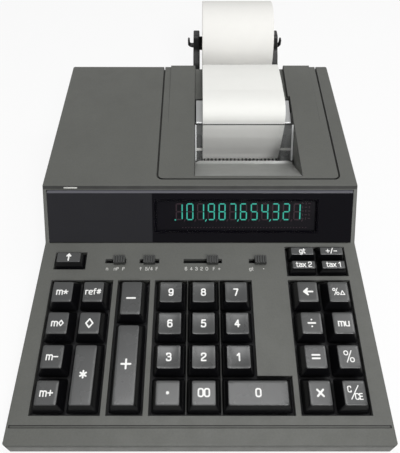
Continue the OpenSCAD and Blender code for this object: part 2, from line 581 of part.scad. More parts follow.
guide_y = sheet_y - 0.7;
guide_z = 57.4;
module side_plate(x) across([[frame_front, floor_z], [frame_front, 30], [frame_front + 22, 36], [frame_front + 34, side_h - 4], [frame_front + 37, side_h],
  [frame_rear - 6, side_h], [frame_rear, side_h - 8], [frame_rear, floor_z]], sheet_t, x);
module printer_frame() color("silver") place() difference() {
  union() {
    for (d = [-1, 1]) side_plate(printer_x + d * (plate_x + sheet_t / 2));
    slab(printer_x - plate_x - 0.5, printer_x + plate_x + 0.5, frame_front, frame_rear, floor_z, floor_z + sheet_t);
    across([[guide_y, 49], [guide_y, guide_z], [guide_y + 0.8, guide_z + 0.8], [guide_y + 19.6, top_z(guide_y + 19) - 0.9], [guide_y + 19.6, top_z(guide_y + 19) - 2],
      [guide_y + 1.2, guide_z - 0.6], [guide_y + 1.2, 49]], open_w - 2 * guide_side, printer_x);
    slab(printer_x - plate_x - 0.5, printer_x + plate_x + 0.5, guide_y, guide_y + 1.2, 47, 51.6);
    for (i = [0, 1]) axle(printer_x - plate_x - 0.5, platen_y - rod_back - rod_step * i, rod_z) cylinder(r = rod_r, h = frame_w + 1);
    for (d = [-1, 1]) translate([printer_x + d * spool_pitch / 2, spool_y, floor_z]) {
      cylinder(r = 5, h = spool_z - floor_z - 0.3);
      cylinder(r = 2.5, h = spool_z + spool_h + 3 - floor_z);
    }
    ribbon_mask();
    slab(printer_x - plate_x - 11.2, printer_x - plate_x - 0.5, drive_y - motor_r - 2, drive_y + motor_r + 2, floor_z, floor_z + sheet_t);
    slab(printer_x - plate_x - 11.2, printer_x - plate_x - 9.6, drive_y - motor_r - 2, drive_y + motor_r + 2, floor_z, drive_z + motor_r + 1);
  }
  for (d = [-1, 1]) axle(printer_x + d * (plate_x + sheet_t / 2), platen_y, platen_z) cylinder(r = shaft_r + shaft_gap, h = 6, center = true);
  for (d = [-1, 1]) axle(printer_x + d * (plate_x + sheet_t / 2), feed_y, platen_z + feed_up) cylinder(r = feed_r + shaft_gap, h = 6, center = true);
  axle(printer_x - plate_x - 10.4, drive_y, drive_z) cylinder(r = 4, h = 6, center = true);
}
module ribbon_mask() {
  rib = paper_w / mask_ribs;
  slab(printer_x - plate_x - 0.5, printer_x + plate_x + 0.5, sheet_y - 7.2, sheet_y - 4.2, mask_z - 5, mask_z - 1.6);
  for (i = [0:mask_ribs - 1]) slab(printer_x - paper_w / 2 + (i + 0.25) * rib, printer_x - paper_w / 2 + (i + 0.75) * rib, sheet_y - 6.4, sheet_y - 1.2, mask_z - 3, mask_z);
}

function gear(n, m) = [for (i = [0:n - 1]) let (a = 360 * i / n, p = 90 / n)
  for (q = [[-p * 1.42, -1.2], [-p * 0.92, 0], [-p * 0.38, 0.8], [p * 0.38, 0.8], [p * 0.92, 0], [p * 1.42, -1.2]]) (n * m / 2 + q[1] * m) * [cos(a + q[0]), sin(a + q[0])]];
gear_x = printer_x - plate_x - sheet_t - 1 - gear_w;
module platen_roller() color("black") place() {
  axle(printer_x - paper_w / 2 - 2, platen_y, platen_z) cylinder(r = platen_r, h = paper_w + 4);
  axle(gear_x - 1, platen_y, platen_z) cylinder(r = shaft_r, h = printer_x + plate_x + sheet_t + 1 - gear_x + 1);
  axle(gear_x, platen_y, platen_z) rotate([0, 0, gear_dir]) linear_extrude(height = gear_w) polygon(gear(platen_teeth, gear_m));
}
module drive_gear() color("ivory") place() difference() {
  union() {
    axle(gear_x, drive_y, drive_z) rotate([0, 0, gear_dir + 180 + 180 / drive_teeth]) linear_extrude(height = gear_w) polygon(gear(drive_teeth, gear_m));
    axle(gear_x - 1.4, drive_y, drive_z) cylinder(r = 3.4, h = 2);
  }
  axle(gear_x - 3, drive_y, drive_z) cylinder(r = 1.5 + shaft_gap, h = gear_w + 6);
}
module drive_motor() color("gainsboro") place() {
  axle(printer_x - plate_x - 11.2 - motor_l, drive_y, drive_z) cylinder(r = motor_r, h = motor_l);
  axle(printer_x - plate_x - 11.4, drive_y, drive_z) cylinder(r = 3.6, h = 1.8);
  axle(printer_x - plate_x - 11.4, drive_y, drive_z) cylinder(r = 1.5, h = gear_x + gear_w - printer_x + plate_x + 11.4 + 0.4);
  axle(printer_x - plate_x - 12.6 - motor_l, drive_y, drive_z) cylinder(r = 3, h = 2);
}
module feed_shaft() color("white") place() {
  axle(printer_x - plate_x - sheet_t - 0.6, feed_y, platen_z + feed_up) cylinder(r = feed_r, h = frame_w + 2 * sheet_t + 1.2);
}
module print_head() color("dimgray") place() difference() {
  across([[platen_y - rod_back - rod_step - 4, 9.4], [platen_y - rod_back - rod_step - 4, 18.2], [platen_y - 11.4, 18.2], [platen_y - 8.4, 17], [platen_y - 8.4, 12.6], [platen_y - 11.4, 9.4]], head_w, printer_x + head_home);
  for (i = [0, 1]) axle(printer_x + head_home, platen_y - rod_back - rod_step * i, rod_z) cylinder(r = rod_r + shaft_gap, h = head_w + 4, center = true);
}
module spool(d) place() translate([printer_x + d * spool_pitch / 2, spool_y, spool_z]) rotate_extrude() polygon([[2.5 + shaft_gap, 0], [spool_r, 0], [spool_r, 1.2], [spool_r - 2.6, 1.8],
  [spool_r - 2.6, spool_h - 1.8], [spool_r, spool_h - 1.2], [spool_r, spool_h], [2.5 + shaft_gap, spool_h]]);
module spool_left() color("black") spool(-1);
module spool_right() color("black") spool(1);

arm_low = holder_z + holder_bar_h;
module arm(d, hook, taper) {
  x0 = printer_x + d * arm_gap / 2;
  intersection() {
    translate([0, roll_y, 0]) rotate([90, 0, 0]) linear_extrude(height = 4 * roll_back, center = true)
      polygon([for (p = [[0, 0], [arm_t, 0], [arm_t, roll_z - 6], [arm_t - taper, roll_z + arm_top + 1], [taper, roll_z + arm_top + 1], [0, roll_z - 6]]) [x0 + d * p[0], p[1]]]);
    across(rounded([[case_depth, holder_z, 0], [roll_y - 14, holder_z + 1, 10], [roll_y + arm_half - 1, holder_z + 7, 8], [roll_y + arm_half, roll_z + 4, 6],
    [roll_y + arm_half - 3, roll_z + arm_top, 3], [roll_y - arm_half + 3, roll_z + arm_top, 3], [roll_y - arm_half, roll_z - 2, 8], [roll_y - arm_half - 8, arm_low, 8], [case_depth, arm_low, 0]]), arm_t, x0 + d * arm_t / 2);
  }
  axle(d < 0 ? x0 - 2 : x0 - boss_l, roll_y, roll_z) cylinder(r = core_r - core_gap, h = boss_l + 2);
  translate([0, roll_y + 3, 0]) rotate([90, 0, 0]) linear_extrude(height = hook_w) polygon([for (p = [[-0.4, -3.6], [hook - 1.6, -2.8], [hook, -1.2], [hook, 4], [hook - 1.6, 4], [hook - 1.8, -0.2], [hook - 2.4, -1], [-0.4, -1]])
    [x0 + d * (arm_t + p[0]), roll_z + p[1]]]);
}
module roll_holder() color("black") place() {
  arm(-1, hook_left, arm_taper_left);
  arm(1, hook_right, arm_taper_right);
  slab(printer_x - arm_gap / 2 - arm_t, printer_x + arm_gap / 2 + arm_t, case_depth, case_depth + holder_bar_t, holder_z, arm_low);
}

module paper_roll() color("white") place() difference() {
  axle(printer_x - paper_w / 2, roll_y, roll_z) cylinder(r = roll_r, h = paper_w, $fn = 96);
  axle(printer_x - paper_w / 2 - 1, roll_y, roll_z) cylinder(r = core_r, h = paper_w + 2);
}
module paper_web() color("white") place() across(strip(web_line, paper_t), paper_w, printer_x);
module paper_tail() color("white") place() across(strip(tail_line, paper_t), paper_w, printer_x);

module frustum(w, d, t, z0, z1) intersection() {
  rotate([90, 0, 0]) linear_extrude(height = d, center = true) polygon([[-w / 2, z0], [w / 2, z0], [w / 2 - t, z1], [-w / 2 + t, z1]]);
  rotate([90, 0, 90]) linear_extrude(height = w, center = true) polygon([[-d / 2, z0], [d / 2, z0], [d / 2 - t, z1], [-d / 2 + t, z1]]);
}
function rise(k) = k[5] >= 2 ? small_rise : key_rise;
function taper(k) = k[5] >= 2 ? key_taper * 0.6 : key_taper;
module key(k) color(k[5] == 1 ? "darkslategray" : "black") on_deck(k[1], k[2]) {
  difference() {
    frustum(k[3], k[4], taper(k), -key_skirt, rise(k));
    frustum(k[3] - 2 * key_wall, k[4] - 2 * key_wall, taper(k), -key_skirt - 0.01, rise(k) - key_wall - dish_d);
    if (k[5] == 1) translate([0, 0, rise(k) - dish_d + dish_r]) rotate([90, 0, 0]) cylinder(r = dish_r, h = k[4], center = true, $fn = 96);
  }
  translate([0, 0, -plate_n - plate_t - 0.8]) cylinder(r = stem_r, h = plate_n + plate_t + 0.8 + rise(k) - key_wall - dish_d + 0.2);
}

module slider(s) color("black") on_deck(s[3], slot_v + slot_w / 2) {
  slab(-knob_l / 2, knob_l / 2, -knob_d / 2, knob_d / 2, slide_gap, knob_h - 1);
  for (i = [0:knob_ridges - 1]) slab(-knob_l / 2 + i * knob_l / (knob_ridges - 0.4), -knob_l / 2 + (i + 0.6) * knob_l / (knob_ridges - 0.4), -knob_d / 2, knob_d / 2, knob_h - 1.2, knob_h);
  slab(-neck_l / 2, neck_l / 2, -slot_w / 2 + slide_gap, slot_w / 2 - slide_gap, -wall - slide_gap - 0.2, slide_gap + 0.2);
  slab(-neck_l / 2 - 1.6, neck_l / 2 + 1.6, -knob_d / 2, knob_d / 2, -wall - slide_gap - 1.6, -wall - slide_gap);
}

module keyboard_plate() color("gray") difference() {
  on_deck(0, 0) slab(keys_x - 3, keys_end + 3, keys_v - 2.8, small_v + 2 * small_pitch + well_m + 1, -plate_n - plate_t, -plate_n);
  for (k = KEYS) on_deck(k[1], k[2], -plate_n - plate_t - 1) cylinder(r = stem_r + stem_gap, h = plate_t + 2);
}
module on_board(p, q, h) slab(board_at(p[0], 0)[0], board_at(q[0], 0)[0], board_at(0, p[1])[1], board_at(0, q[1])[1], floor_z + board_up + board_t - 0.2, floor_z + board_up + board_t + h);
module main_board() color("darkgreen") place() {
  slab(board_box[0][0], board_box[1][0], board_box[0][1], board_box[1][1], floor_z + board_up, floor_z + board_up + board_t);
  on_board([0.08, 0.58], [0.92, 0.93], transformer_h * 0.32);
  on_board([0.25, 0.58], [0.75, 0.93], transformer_h + 4);
  on_board([0.08, 0.64], [0.92, 0.87], transformer_h);
  on_board([0.17, 0.07], [0.79, 0.15], transformer_h * 0.14);
  on_board([0.25, 0.27], [0.54, 0.46], transformer_h * 0.1);
  for (c = [[0.75, 0.34, 6], [0.75, 0.475, 5]]) translate([board_at(c[0], 0)[0], board_at(0, c[1])[1], floor_z + board_up + board_t - 0.2]) cylinder(r = c[2], h = 3 * c[2]);
}

top_case();
base_pan();
feet();
screws();
display_window();
display_tube();
printer_cover();
tear_window();
printer_frame();
platen_roller();
feed_shaft();
drive_gear();
drive_motor();
print_head();
spool_left();
spool_right();
roll_holder();
paper_roll();
paper_web();
paper_tail();
keyboard_plate();
main_board();
for (s = SLIDERS) slider(s);
for (k = KEYS) key(k);
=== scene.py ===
import json
import math

import bmesh
import bpy
import numpy as np
from mathutils import Matrix, Vector
from mathutils.bvhtree import BVHTree

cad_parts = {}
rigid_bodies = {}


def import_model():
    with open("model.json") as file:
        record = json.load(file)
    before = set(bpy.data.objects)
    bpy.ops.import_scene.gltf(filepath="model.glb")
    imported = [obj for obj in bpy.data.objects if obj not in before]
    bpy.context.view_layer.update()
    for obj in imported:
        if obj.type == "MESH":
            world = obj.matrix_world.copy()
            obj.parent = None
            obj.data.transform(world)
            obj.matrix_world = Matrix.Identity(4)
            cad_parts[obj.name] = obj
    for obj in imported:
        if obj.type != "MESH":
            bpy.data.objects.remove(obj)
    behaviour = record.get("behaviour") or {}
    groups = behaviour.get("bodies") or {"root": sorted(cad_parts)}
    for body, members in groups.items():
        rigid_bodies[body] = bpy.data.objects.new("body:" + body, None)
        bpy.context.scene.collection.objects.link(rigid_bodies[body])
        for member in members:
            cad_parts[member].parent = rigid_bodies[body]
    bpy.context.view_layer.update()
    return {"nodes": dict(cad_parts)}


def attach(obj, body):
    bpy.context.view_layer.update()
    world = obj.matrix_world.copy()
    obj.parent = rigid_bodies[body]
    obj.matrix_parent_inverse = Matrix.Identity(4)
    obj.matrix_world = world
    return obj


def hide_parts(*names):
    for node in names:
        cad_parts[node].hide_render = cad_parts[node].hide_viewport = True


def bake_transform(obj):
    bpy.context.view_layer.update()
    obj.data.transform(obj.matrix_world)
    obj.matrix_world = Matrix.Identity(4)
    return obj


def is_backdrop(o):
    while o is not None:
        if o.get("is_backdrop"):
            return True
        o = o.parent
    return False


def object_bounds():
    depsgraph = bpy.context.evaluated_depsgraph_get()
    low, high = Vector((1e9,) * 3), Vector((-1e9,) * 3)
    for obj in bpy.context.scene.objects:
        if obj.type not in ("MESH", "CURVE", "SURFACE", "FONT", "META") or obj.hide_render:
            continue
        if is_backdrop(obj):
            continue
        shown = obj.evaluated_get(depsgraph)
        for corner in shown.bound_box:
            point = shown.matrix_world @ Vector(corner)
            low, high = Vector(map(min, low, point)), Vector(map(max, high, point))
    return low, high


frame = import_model()
nodes = frame["nodes"]
mm = 0.001
print("frame loaded,", len(nodes), "nodes")

# the case, in millimetres from its front edge, as the solids have it
case = {
    "shift": -175.35, "frontHeight": 14.0, "deckAngle": 8.0, "deckLength": 118.2,
    "faceAngle": 50.0, "faceLength": 36.5, "topAngle": 3.4, "depth": 259.0,
}


def rad(angle):
    return math.radians(angle)


def slopeEnd(start, length, angle):  # end of a slope in the side view
    return start[0] + length * math.cos(rad(angle)), start[1] + length * math.sin(rad(angle))


def casePoint(x, y, z):  # millimetres of the case to metres of the part
    return (x * mm, (y + case["shift"]) * mm, z * mm)


def tilted(y, z, angle):  # a frame that leans back from the point (y, z) of the case
    return Matrix.Translation(casePoint(0, y, z)) @ Matrix.Rotation(rad(angle), 4, "X")


def shifted(x, y, z=0.0):  # a step inside a frame, in millimetres
    return Matrix.Translation((x * mm, y * mm, z * mm))


deckEnd = slopeEnd((0, case["frontHeight"]), case["deckLength"], case["deckAngle"])
faceEnd = slopeEnd(deckEnd, case["faceLength"], case["faceAngle"])
deckFrame = tilted(0, case["frontHeight"], case["deckAngle"])
faceFrame = tilted(*deckEnd, case["faceAngle"])


def topHeight(y):
    return faceEnd[1] + (y - faceEnd[0]) * math.tan(rad(case["topAngle"]))


# node helpers, for materials and for geometry alike
def addNode(tree, kind, inputs=None, **settings):
    made = tree.nodes.new(kind)
    for key, value in settings.items():
        setattr(made, key, value)
    for key, value in (inputs or {}).items():
        socket = made.inputs[key]
        if isinstance(value, bpy.types.NodeSocket):
            tree.links.new(value, socket)
        else:
            socket.default_value = value
    return made


def shaderNode(tree, kind, inputs=None, out=0, **settings):
    return addNode(tree, "ShaderNode" + kind, inputs, **settings).outputs[out]


def geoNode(tree, kind, inputs=None, out=0, **settings):
    return addNode(tree, "GeometryNode" + kind, inputs, **settings).outputs[out]


def calc(tree, operation, a, b):
    return shaderNode(tree, "Math", {0: a, 1: b}, operation=operation)


def plus(tree, a, b):
    return calc(tree, "ADD", a, b)


def less(tree, a, b):
    return calc(tree, "SUBTRACT", a, b)


def times(tree, a, b):
    return calc(tree, "MULTIPLY", a, b)


def larger(tree, a, b):
    return calc(tree, "MAXIMUM", a, b)


def span(tree, value, low, high, toLow, toHigh):
    return shaderNode(tree, "MapRange", {"Value": value, "From Min": low, "From Max": high,
                                         "To Min": toLow, "To Max": toHigh}, "Result")


def parts(tree, place):
    return addNode(tree, "ShaderNodeSeparateXYZ", {0: place}).outputs


def vector(tree, x, y, z):
    return shaderNode(tree, "CombineXYZ", {"X": x, "Y": y, "Z": z})


def vectorCalc(tree, operation, a, b):
    return shaderNode(tree, "VectorMath", {0: a, 1: b}, operation=operation)


# colours
def tone(r, g, b):  # screen values to linear
    linear = (c / 255 / 12.92 if c < 11 else ((c / 255 + 0.055) / 1.055) ** 2.4 for c in (r, g, b))
    return (*linear, 1.0)


def shade(colour, factor):
    return tuple(min(1.0, c * factor) for c in colour[:3]) + (1.0,)


def mixColour(tree, factor, first, second):
    return shaderNode(tree, "Mix", {0: factor, 6: first, 7: second}, 2, data_type="RGBA")


def mottled(tree, factor, colour, low, high):  # from a darker to a lighter shade of one colour
    return mixColour(tree, factor, shade(colour, low), shade(colour, high))


# material helpers
def blankMaterial(name):
    made = bpy.data.materials.new(name)
    made.use_nodes = True
    tree = made.node_tree
    return made, tree, tree.nodes["Principled BSDF"], shaderNode(tree, "TexCoord", out="Object")


def fixed(shader, **values):  # plain numbers, set on the sockets themselves
    for key, value in values.items():
        shader.inputs[key.replace("_", " ")].default_value = value


def wire(tree, shader, **links):
    for key, value in links.items():
        tree.links.new(value, shader.inputs[key.replace("_", " ")])


def noise(tree, coords, size, detail=2.0):  # size of the grain in millimetres
    return shaderNode(tree, "TexNoise", {"Vector": coords, "Scale": 1000.0 / size, "Detail": detail,
                                         "Roughness": 0.55})


def drawn(tree, coords, stretch):  # coordinates pulled long, for lines and fibres
    return shaderNode(tree, "Mapping", {"Vector": coords, "Scale": stretch})


def level(tree, grain, low, high):  # noise lies mostly between 0.3 and 0.7
    return span(tree, grain, 0.3, 0.7, low, high)


def bump(tree, height, depth):  # depth in millimetres
    return shaderNode(tree, "Bump", {"Height": height, "Distance": depth * mm})


def attribute(tree, label):
    return shaderNode(tree, "Attribute", out="Fac", attribute_name=label)


def faceParts(tree, coords):  # measured across, up and out of the display face
    inside = faceFrame.inverted()
    return parts(tree, shaderNode(tree, "Mapping", {"Vector": coords, "Location": inside.translation,
                                                    "Rotation": inside.to_euler()}))


def between(tree, value, low, high, soft=0.15):  # 1 inside the two limits, in millimetres
    rise = span(tree, value, (low - soft) * mm, (low + soft) * mm, 0.0, 1.0)
    fall = span(tree, value, (high - soft) * mm, (high + soft) * mm, 1.0, 0.0)
    return times(tree, rise, fall)


# finishes
moulding = {  # millimetres, shares of the colour and steps of roughness
    "cloud": 35, "wear": 8, "wearRange": 0.05, "paintedGapTone": 0.06, "paintedGapFrom": 0.45, "paintedGapTo": 0.85,
    "paintedStripShade": 0.14, "stripMatt": 0.2, "stripDeep": 0.5, "stripFade": 0.3,
}


def mouldedPlastic(name, colour, rough, grain, depth, mottle, paintedGapShade=0.0, gloss=0.5, strip=None):
    made, tree, shader, coords = blankMaterial(name)
    fixed(shader, Specular_IOR_Level=gloss)
    fine = noise(tree, coords, grain)
    broad = noise(tree, coords, moulding["cloud"], 4.0)
    both = plus(tree, times(tree, fine, 0.5), times(tree, broad, 0.5))
    colourOut = mottled(tree, level(tree, both, 0.0, 1.0), colour, 1 - mottle, 1 + mottle)
    wear = noise(tree, coords, moulding["wear"], 3.0)
    roughOut = level(tree, wear, rough - moulding["wearRange"], rough + moulding["wearRange"])
    if paintedGapShade > 0:  # painted shade where the surface lies in a narrow gap
        paintedGapShadeMask = span(tree, attribute(tree, "crevice"), moulding["paintedGapFrom"], moulding["paintedGapTo"], 0.0, paintedGapShade)
        colourOut = mixColour(tree, paintedGapShadeMask, colourOut, shade(colour, moulding["paintedGapTone"]))
    if strip is not None:  # painted shadow: a darker strip on the sloped face above the window, made matt as well
        part = faceParts(tree, coords)
        inside = times(tree, between(tree, part["Y"], *strip, moulding["stripFade"]),
                       between(tree, part["Z"], -moulding["stripDeep"], moulding["stripDeep"]))
        colourOut = mixColour(tree, inside, colourOut, shade(colour, moulding["paintedStripShade"]))
        roughOut = plus(tree, roughOut, times(tree, inside, moulding["stripMatt"]))
    wire(tree, shader, Base_Color=colourOut, Roughness=roughOut, Normal=bump(tree, fine, depth))
    return made


def keyPlastic(name, look):
    made, tree, shader, coords = blankMaterial(name)
    cap = attribute(tree, "capTop")
    fine = noise(tree, coords, look["grain"])
    broad = noise(tree, coords, look["cloud"], 3.0)
    satin = times(tree, cap, level(tree, broad, *look["topRough"]))
    gloss = times(tree, less(tree, 1.0, cap), level(tree, broad, *look["sideRough"]))
    # the lighter top is partly a painted sheen
    top = mottled(tree, broad, look["top"], 0.9, 1.1)
    wire(tree, shader, Base_Color=mixColour(tree, cap, look["side"], top),
         Roughness=plus(tree, satin, gloss), Normal=bump(tree, fine, look["depth"]))
    return made


def brushedMetal(name, colour, rough, axis):
    made, tree, shader, coords = blankMaterial(name)
    stretch = [0.02 if label == axis else 1.0 for label in "XYZ"]
    lines = noise(tree, drawn(tree, coords, stretch), 0.25, 3.0)
    fixed(shader, Metallic=1.0)
    wire(tree, shader, Base_Color=mottled(tree, noise(tree, coords, 18, 4.0), colour, 0.88, 1.08),
         Roughness=level(tree, lines, rough - 0.07, rough + 0.07), Normal=bump(tree, lines, 0.004))
    return made


def paperStock(name, colour):
    made, tree, shader, coords = blankMaterial(name)
    fibre = noise(tree, drawn(tree, coords, (0.35, 1, 1)), 0.6, 4.0)
    fixed(shader, Specular_IOR_Level=0.25)
    wire(tree, shader, Base_Color=mottled(tree, noise(tree, coords, 9, 3.0), colour, 0.975, 1.015),
         Roughness=level(tree, fibre, 0.72, 0.86), Normal=bump(tree, fibre, 0.012))
    return made


acrylicIndex = 1.49


def smokedWindow(name, look):
    made, tree, shader, coords = blankMaterial(name)
    part = faceParts(tree, coords)
    seeThrough = times(tree, between(tree, part["X"], *look["clearX"], look["fade"]),
                       between(tree, part["Y"], *look["clearS"], look["fade"]))
    haze = noise(tree, coords, 22, 3.0)
    leftPanel = between(tree, part["X"], *look["panelX"])
    printed = mixColour(tree, leftPanel, look["black"], mottled(tree, haze, look["grey"], 0.92, 1.08))
    # a lighter band at the top of the window: a painted highlight on its top chamfer
    printed = mixColour(tree, between(tree, part["Y"], *look["paintedHighlightS"]), printed, look["pale"])
    fixed(shader, IOR=acrylicIndex, Specular_IOR_Level=look["gloss"])
    wire(tree, shader, Base_Color=printed, Alpha=less(tree, 1.0, seeThrough),
         Roughness=level(tree, haze, 0.03, 0.07))
    return made


def clearPlastic(name, look):  # clear before the sheet; beside it a pale layer that is a painted reflection, with bright rims as painted glints and a dark tear edge as painted shade
    made, tree, shader, coords = blankMaterial(name)
    edge, tear = attribute(tree, "paneEdge"), attribute(tree, "tearEdge")
    colour = mixColour(tree, tear, mixColour(tree, edge, look["pane"], look["edge"]), look["tear"])
    clear = between(tree, parts(tree, coords)["X"], *look["clearX"], look["fade"])
    paintedReflection = times(tree, less(tree, 1.0, clear), look["paintedReflection"])
    rims = larger(tree, times(tree, edge, look["paintedGlintCover"]), times(tree, tear, look["tearCover"]))
    haze = noise(tree, coords, 12, 3.0)
    fixed(shader, IOR=acrylicIndex, Specular_IOR_Level=0.0)
    wire(tree, shader, Base_Color=colour, Alpha=larger(tree, rims, paintedReflection),
         Roughness=plus(tree, level(tree, haze, 0.015, 0.05), times(tree, edge, 0.3)))
    return made


def litGlass(name, colour, strength, base):
    made, tree, shader, coords = blankMaterial(name)
    flicker = noise(tree, coords, 1.2)
    fixed(shader, Emission_Strength=strength, Specular_IOR_Level=0.05)
    wire(tree, shader, Emission_Color=mottled(tree, flicker, colour, 0.85, 1.1),
         Base_Color=mottled(tree, flicker, base, 0.8, 1.2), Roughness=level(tree, flicker, 0.35, 0.5))
    return made


plastics = {  # name, colour, roughness, grain and its depth in millimetres, mottle
    "case": ("casePlastic", (79, 80, 76), 0.52, 0.8, 0.022, 0.14),
    "arms": ("armPlastic", (18, 18, 19), 0.42, 0.5, 0.010, 0.12),
    "switches": ("switchPlastic", (46, 47, 46), 0.36, 0.4, 0.008, 0.10),
    "legend": ("legendPaint", (236, 236, 234), 0.55, 0.3, 0.004, 0.03),
    "mark": ("markPaint", (190, 190, 186), 0.6, 0.3, 0.004, 0.06),
    "slope": ("silverPlastic", (138, 139, 136), 0.34, 0.6, 0.004, 0.05),
    "rod": ("rodPlastic", (243, 242, 237), 0.35, 0.8, 0.004, 0.04),
    "nylon": ("gearNylon", (222, 216, 196), 0.45, 0.6, 0.004, 0.05),
    "black": ("blackPlastic", (26, 26, 28), 0.45, 0.5, 0.008, 0.12),
    "comb": ("combPlastic", (44, 44, 43), 0.45, 0.6, 0.006, 0.08),
    "rubber": ("footRubber", (30, 30, 30), 0.80, 0.7, 0.030, 0.15),
    "plate": ("plateBoard", (40, 40, 42), 0.6, 0.7, 0.010, 0.12),
    "board": ("boardCoat", (32, 92, 58), 0.4, 1.8, 0.020, 0.25),
    "core": ("coreBoard", (168, 146, 112), 0.85, 0.9, 0.030, 0.12),
    "tubeGlass": ("tubeGlass", (7, 6, 11), 0.40, 2.0, 0.001, 0.15),
}
# on the case: painted shade in the gaps and a painted shadow strip above the window
plasticExtras = {"case": {"paintedGapShade": 1.0, "strip": (34.2, 36.3)}, "arms": {"gloss": 0.35},
                 "tubeGlass": {"gloss": 0.05}}
looks = {
    # lighter grey tops over near-black skirts: partly a matt top, partly a painted sheen
    "keys": keyPlastic("keyPlastic", {
        "top": tone(58, 59, 59), "side": tone(12, 12, 14), "grain": 0.35, "cloud": 14, "depth": 0.003,
        "topRough": (0.24, 0.29), "sideRough": (0.20, 0.28)}),
    "zinc": brushedMetal("zincPlate", tone(158, 159, 159), 0.42, "X"),
    "steel": brushedMetal("turnedSteel", tone(190, 190, 190), 0.30, "Y"),
    "paper": paperStock("paperStock", tone(238, 238, 234)),
    "roll": paperStock("rollPaper", tone(238, 237, 233)),
    "window": smokedWindow("smokedWindow", {
        "black": tone(8, 7, 12), "grey": tone(38, 38, 41), "pale": tone(92, 92, 98), "gloss": 0.07,
        "clearX": (-28, 73.4), "clearS": (7.2, 27.2), "fade": 1.2, "panelX": (-200, -30),
        "paintedHighlightS": (31.8, 40.0)}),
    "clear": clearPlastic("clearPane", {
        "pane": tone(206, 208, 207), "edge": tone(232, 234, 234), "tear": tone(62, 62, 62),
        "paintedGlintCover": 0.6, "tearCover": 0.9, "paintedReflection": 0.07, "clearX": (1.4, 55.8), "fade": 1.6}),
    "lit": litGlass("litSegment", (0.08, 0.70, 0.55, 1.0), 0.64, tone(10, 34, 28)),
    # unlit bars with a faint painted glow
    "ghost": litGlass("ghostSegment", (0.40, 0.20, 0.28, 1.0), 0.05, tone(34, 29, 32)),
}
for label, (name, colour, *finish) in plastics.items():
    looks[label] = mouldedPlastic(name, tone(*colour), *finish, **plasticExtras.get(label, {}))
print("materials ready,", len(looks))


# mesh helpers
def addObject(name, mesh, look=None):
    made = bpy.data.objects.new(name, mesh)
    bpy.context.scene.collection.objects.link(made)
    if look is not None:
        mesh.materials.clear()
        mesh.materials.append(looks[look])
    return made


def bakeModifiers(obj):
    graph = bpy.context.evaluated_depsgraph_get()
    mesh = bpy.data.meshes.new_from_object(obj.evaluated_get(graph), preserve_all_data_layers=True,
                                           depsgraph=graph)
    old = obj.data
    obj.modifiers.clear()
    obj.data = mesh
    mesh.name = obj.name
    bpy.data.meshes.remove(old)
    return obj


def smoothFaces(obj, angle=38):
    mesh = obj.data
    mesh.polygons.foreach_set("use_smooth", [True] * len(mesh.polygons))
    mesh.set_sharp_from_angle(angle=rad(angle))
    even = obj.modifiers.new("even", "WEIGHTED_NORMAL")
    even.keep_sharp = True
    return bakeModifiers(obj)


def roundEdges(obj, width, steps=2):
    soft = obj.modifiers.new("round", "BEVEL")
    soft.width, soft.segments, soft.limit_method = width * mm, steps, "WEIGHT"
    soft.use_clamp_overlap, soft.loop_slide = False, False
    bakeModifiers(obj)
    return smoothFaces(obj)


def thicken(obj, thick, offset):
    wall = obj.modifiers.new("wall", "SOLIDIFY")
    wall.thickness, wall.offset = thick * mm, offset
    return bakeModifiers(obj)


def mergedCopy(node):  # one clean mesh of a solid, flat areas joined up
    made = bmesh.new()
    made.from_mesh(nodes[node].data)
    bmesh.ops.remove_doubles(made, verts=made.verts, dist=3e-6)
    bmesh.ops.dissolve_limit(made, angle_limit=rad(0.5), verts=made.verts, edges=made.edges)
    bmesh.ops.connect_verts_concave(made, faces=made.faces)
    return made


def weightEdges(made, angle, shortest):
    weight = made.edges.layers.float.new("bevel_weight_edge")
    for edge in made.edges:
        if len(edge.link_faces) == 2 and edge.is_convex and edge.calc_length() > shortest * mm:
            edge[weight] = 1.0 if edge.calc_face_angle(0.0) > rad(angle) else 0.0


def cutAcross(made, point, normal, **cleared):
    everything = made.verts[:] + made.edges[:] + made.faces[:]
    bmesh.ops.bisect_plane(made, geom=everything, plane_co=point, plane_no=normal, **cleared)


def fromBmesh(name, made, look=None):
    mesh = bpy.data.meshes.new(name)
    made.to_mesh(mesh)
    made.free()
    return addObject(name, mesh, look)


def setValues(mesh, label, domain, values):
    mesh.attributes.new(label, "FLOAT", domain).data.foreach_set("value", values)


def bodyOf(node):
    return nodes[node].parent.name.split(":")[1]


def fit(obj, body, slot, *replaced):  # rides and stands for solids
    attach(obj, body)
    if replaced:
        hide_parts(*replaced)
    return obj


# geometry node helpers
def newTree(name, sockets):
    tree = bpy.data.node_groups.new(name, "GeometryNodeTree")
    for label, kind in sockets:
        tree.interface.new_socket(name=label, in_out="INPUT", socket_type="NodeSocket" + kind)
    tree.interface.new_socket(name="Geometry", in_out="OUTPUT", socket_type="NodeSocketGeometry")
    return tree, tree.nodes.new("NodeGroupInput").outputs


def closeTree(tree, geometry, finish):
    real = geoNode(tree, "RealizeInstances", {"Geometry": geometry})
    painted = geoNode(tree, "SetMaterial", {"Geometry": real, "Material": finish})
    tree.links.new(painted, tree.nodes.new("NodeGroupOutput").inputs["Geometry"])
    return tree


def position(tree):
    return geoNode(tree, "InputPosition")


def named(tree, label, kind="FLOAT"):
    return geoNode(tree, "InputNamedAttribute", {"Name": label}, data_type=kind)


def stored(tree, geometry, label, value, kind="FLOAT"):
    return geoNode(tree, "StoreNamedAttribute", {"Geometry": geometry, "Name": label, "Value": value},
                   data_type=kind, domain="POINT")


def moved(tree, geometry, **how):  # Position, Offset or Selection
    return geoNode(tree, "SetPosition", {"Geometry": geometry, **how})


def joined(tree, *pieces):
    whole = addNode(tree, "GeometryNodeJoinGeometry")
    for piece in pieces:
        tree.links.new(piece, whole.inputs[0])
    return whole.outputs[0]


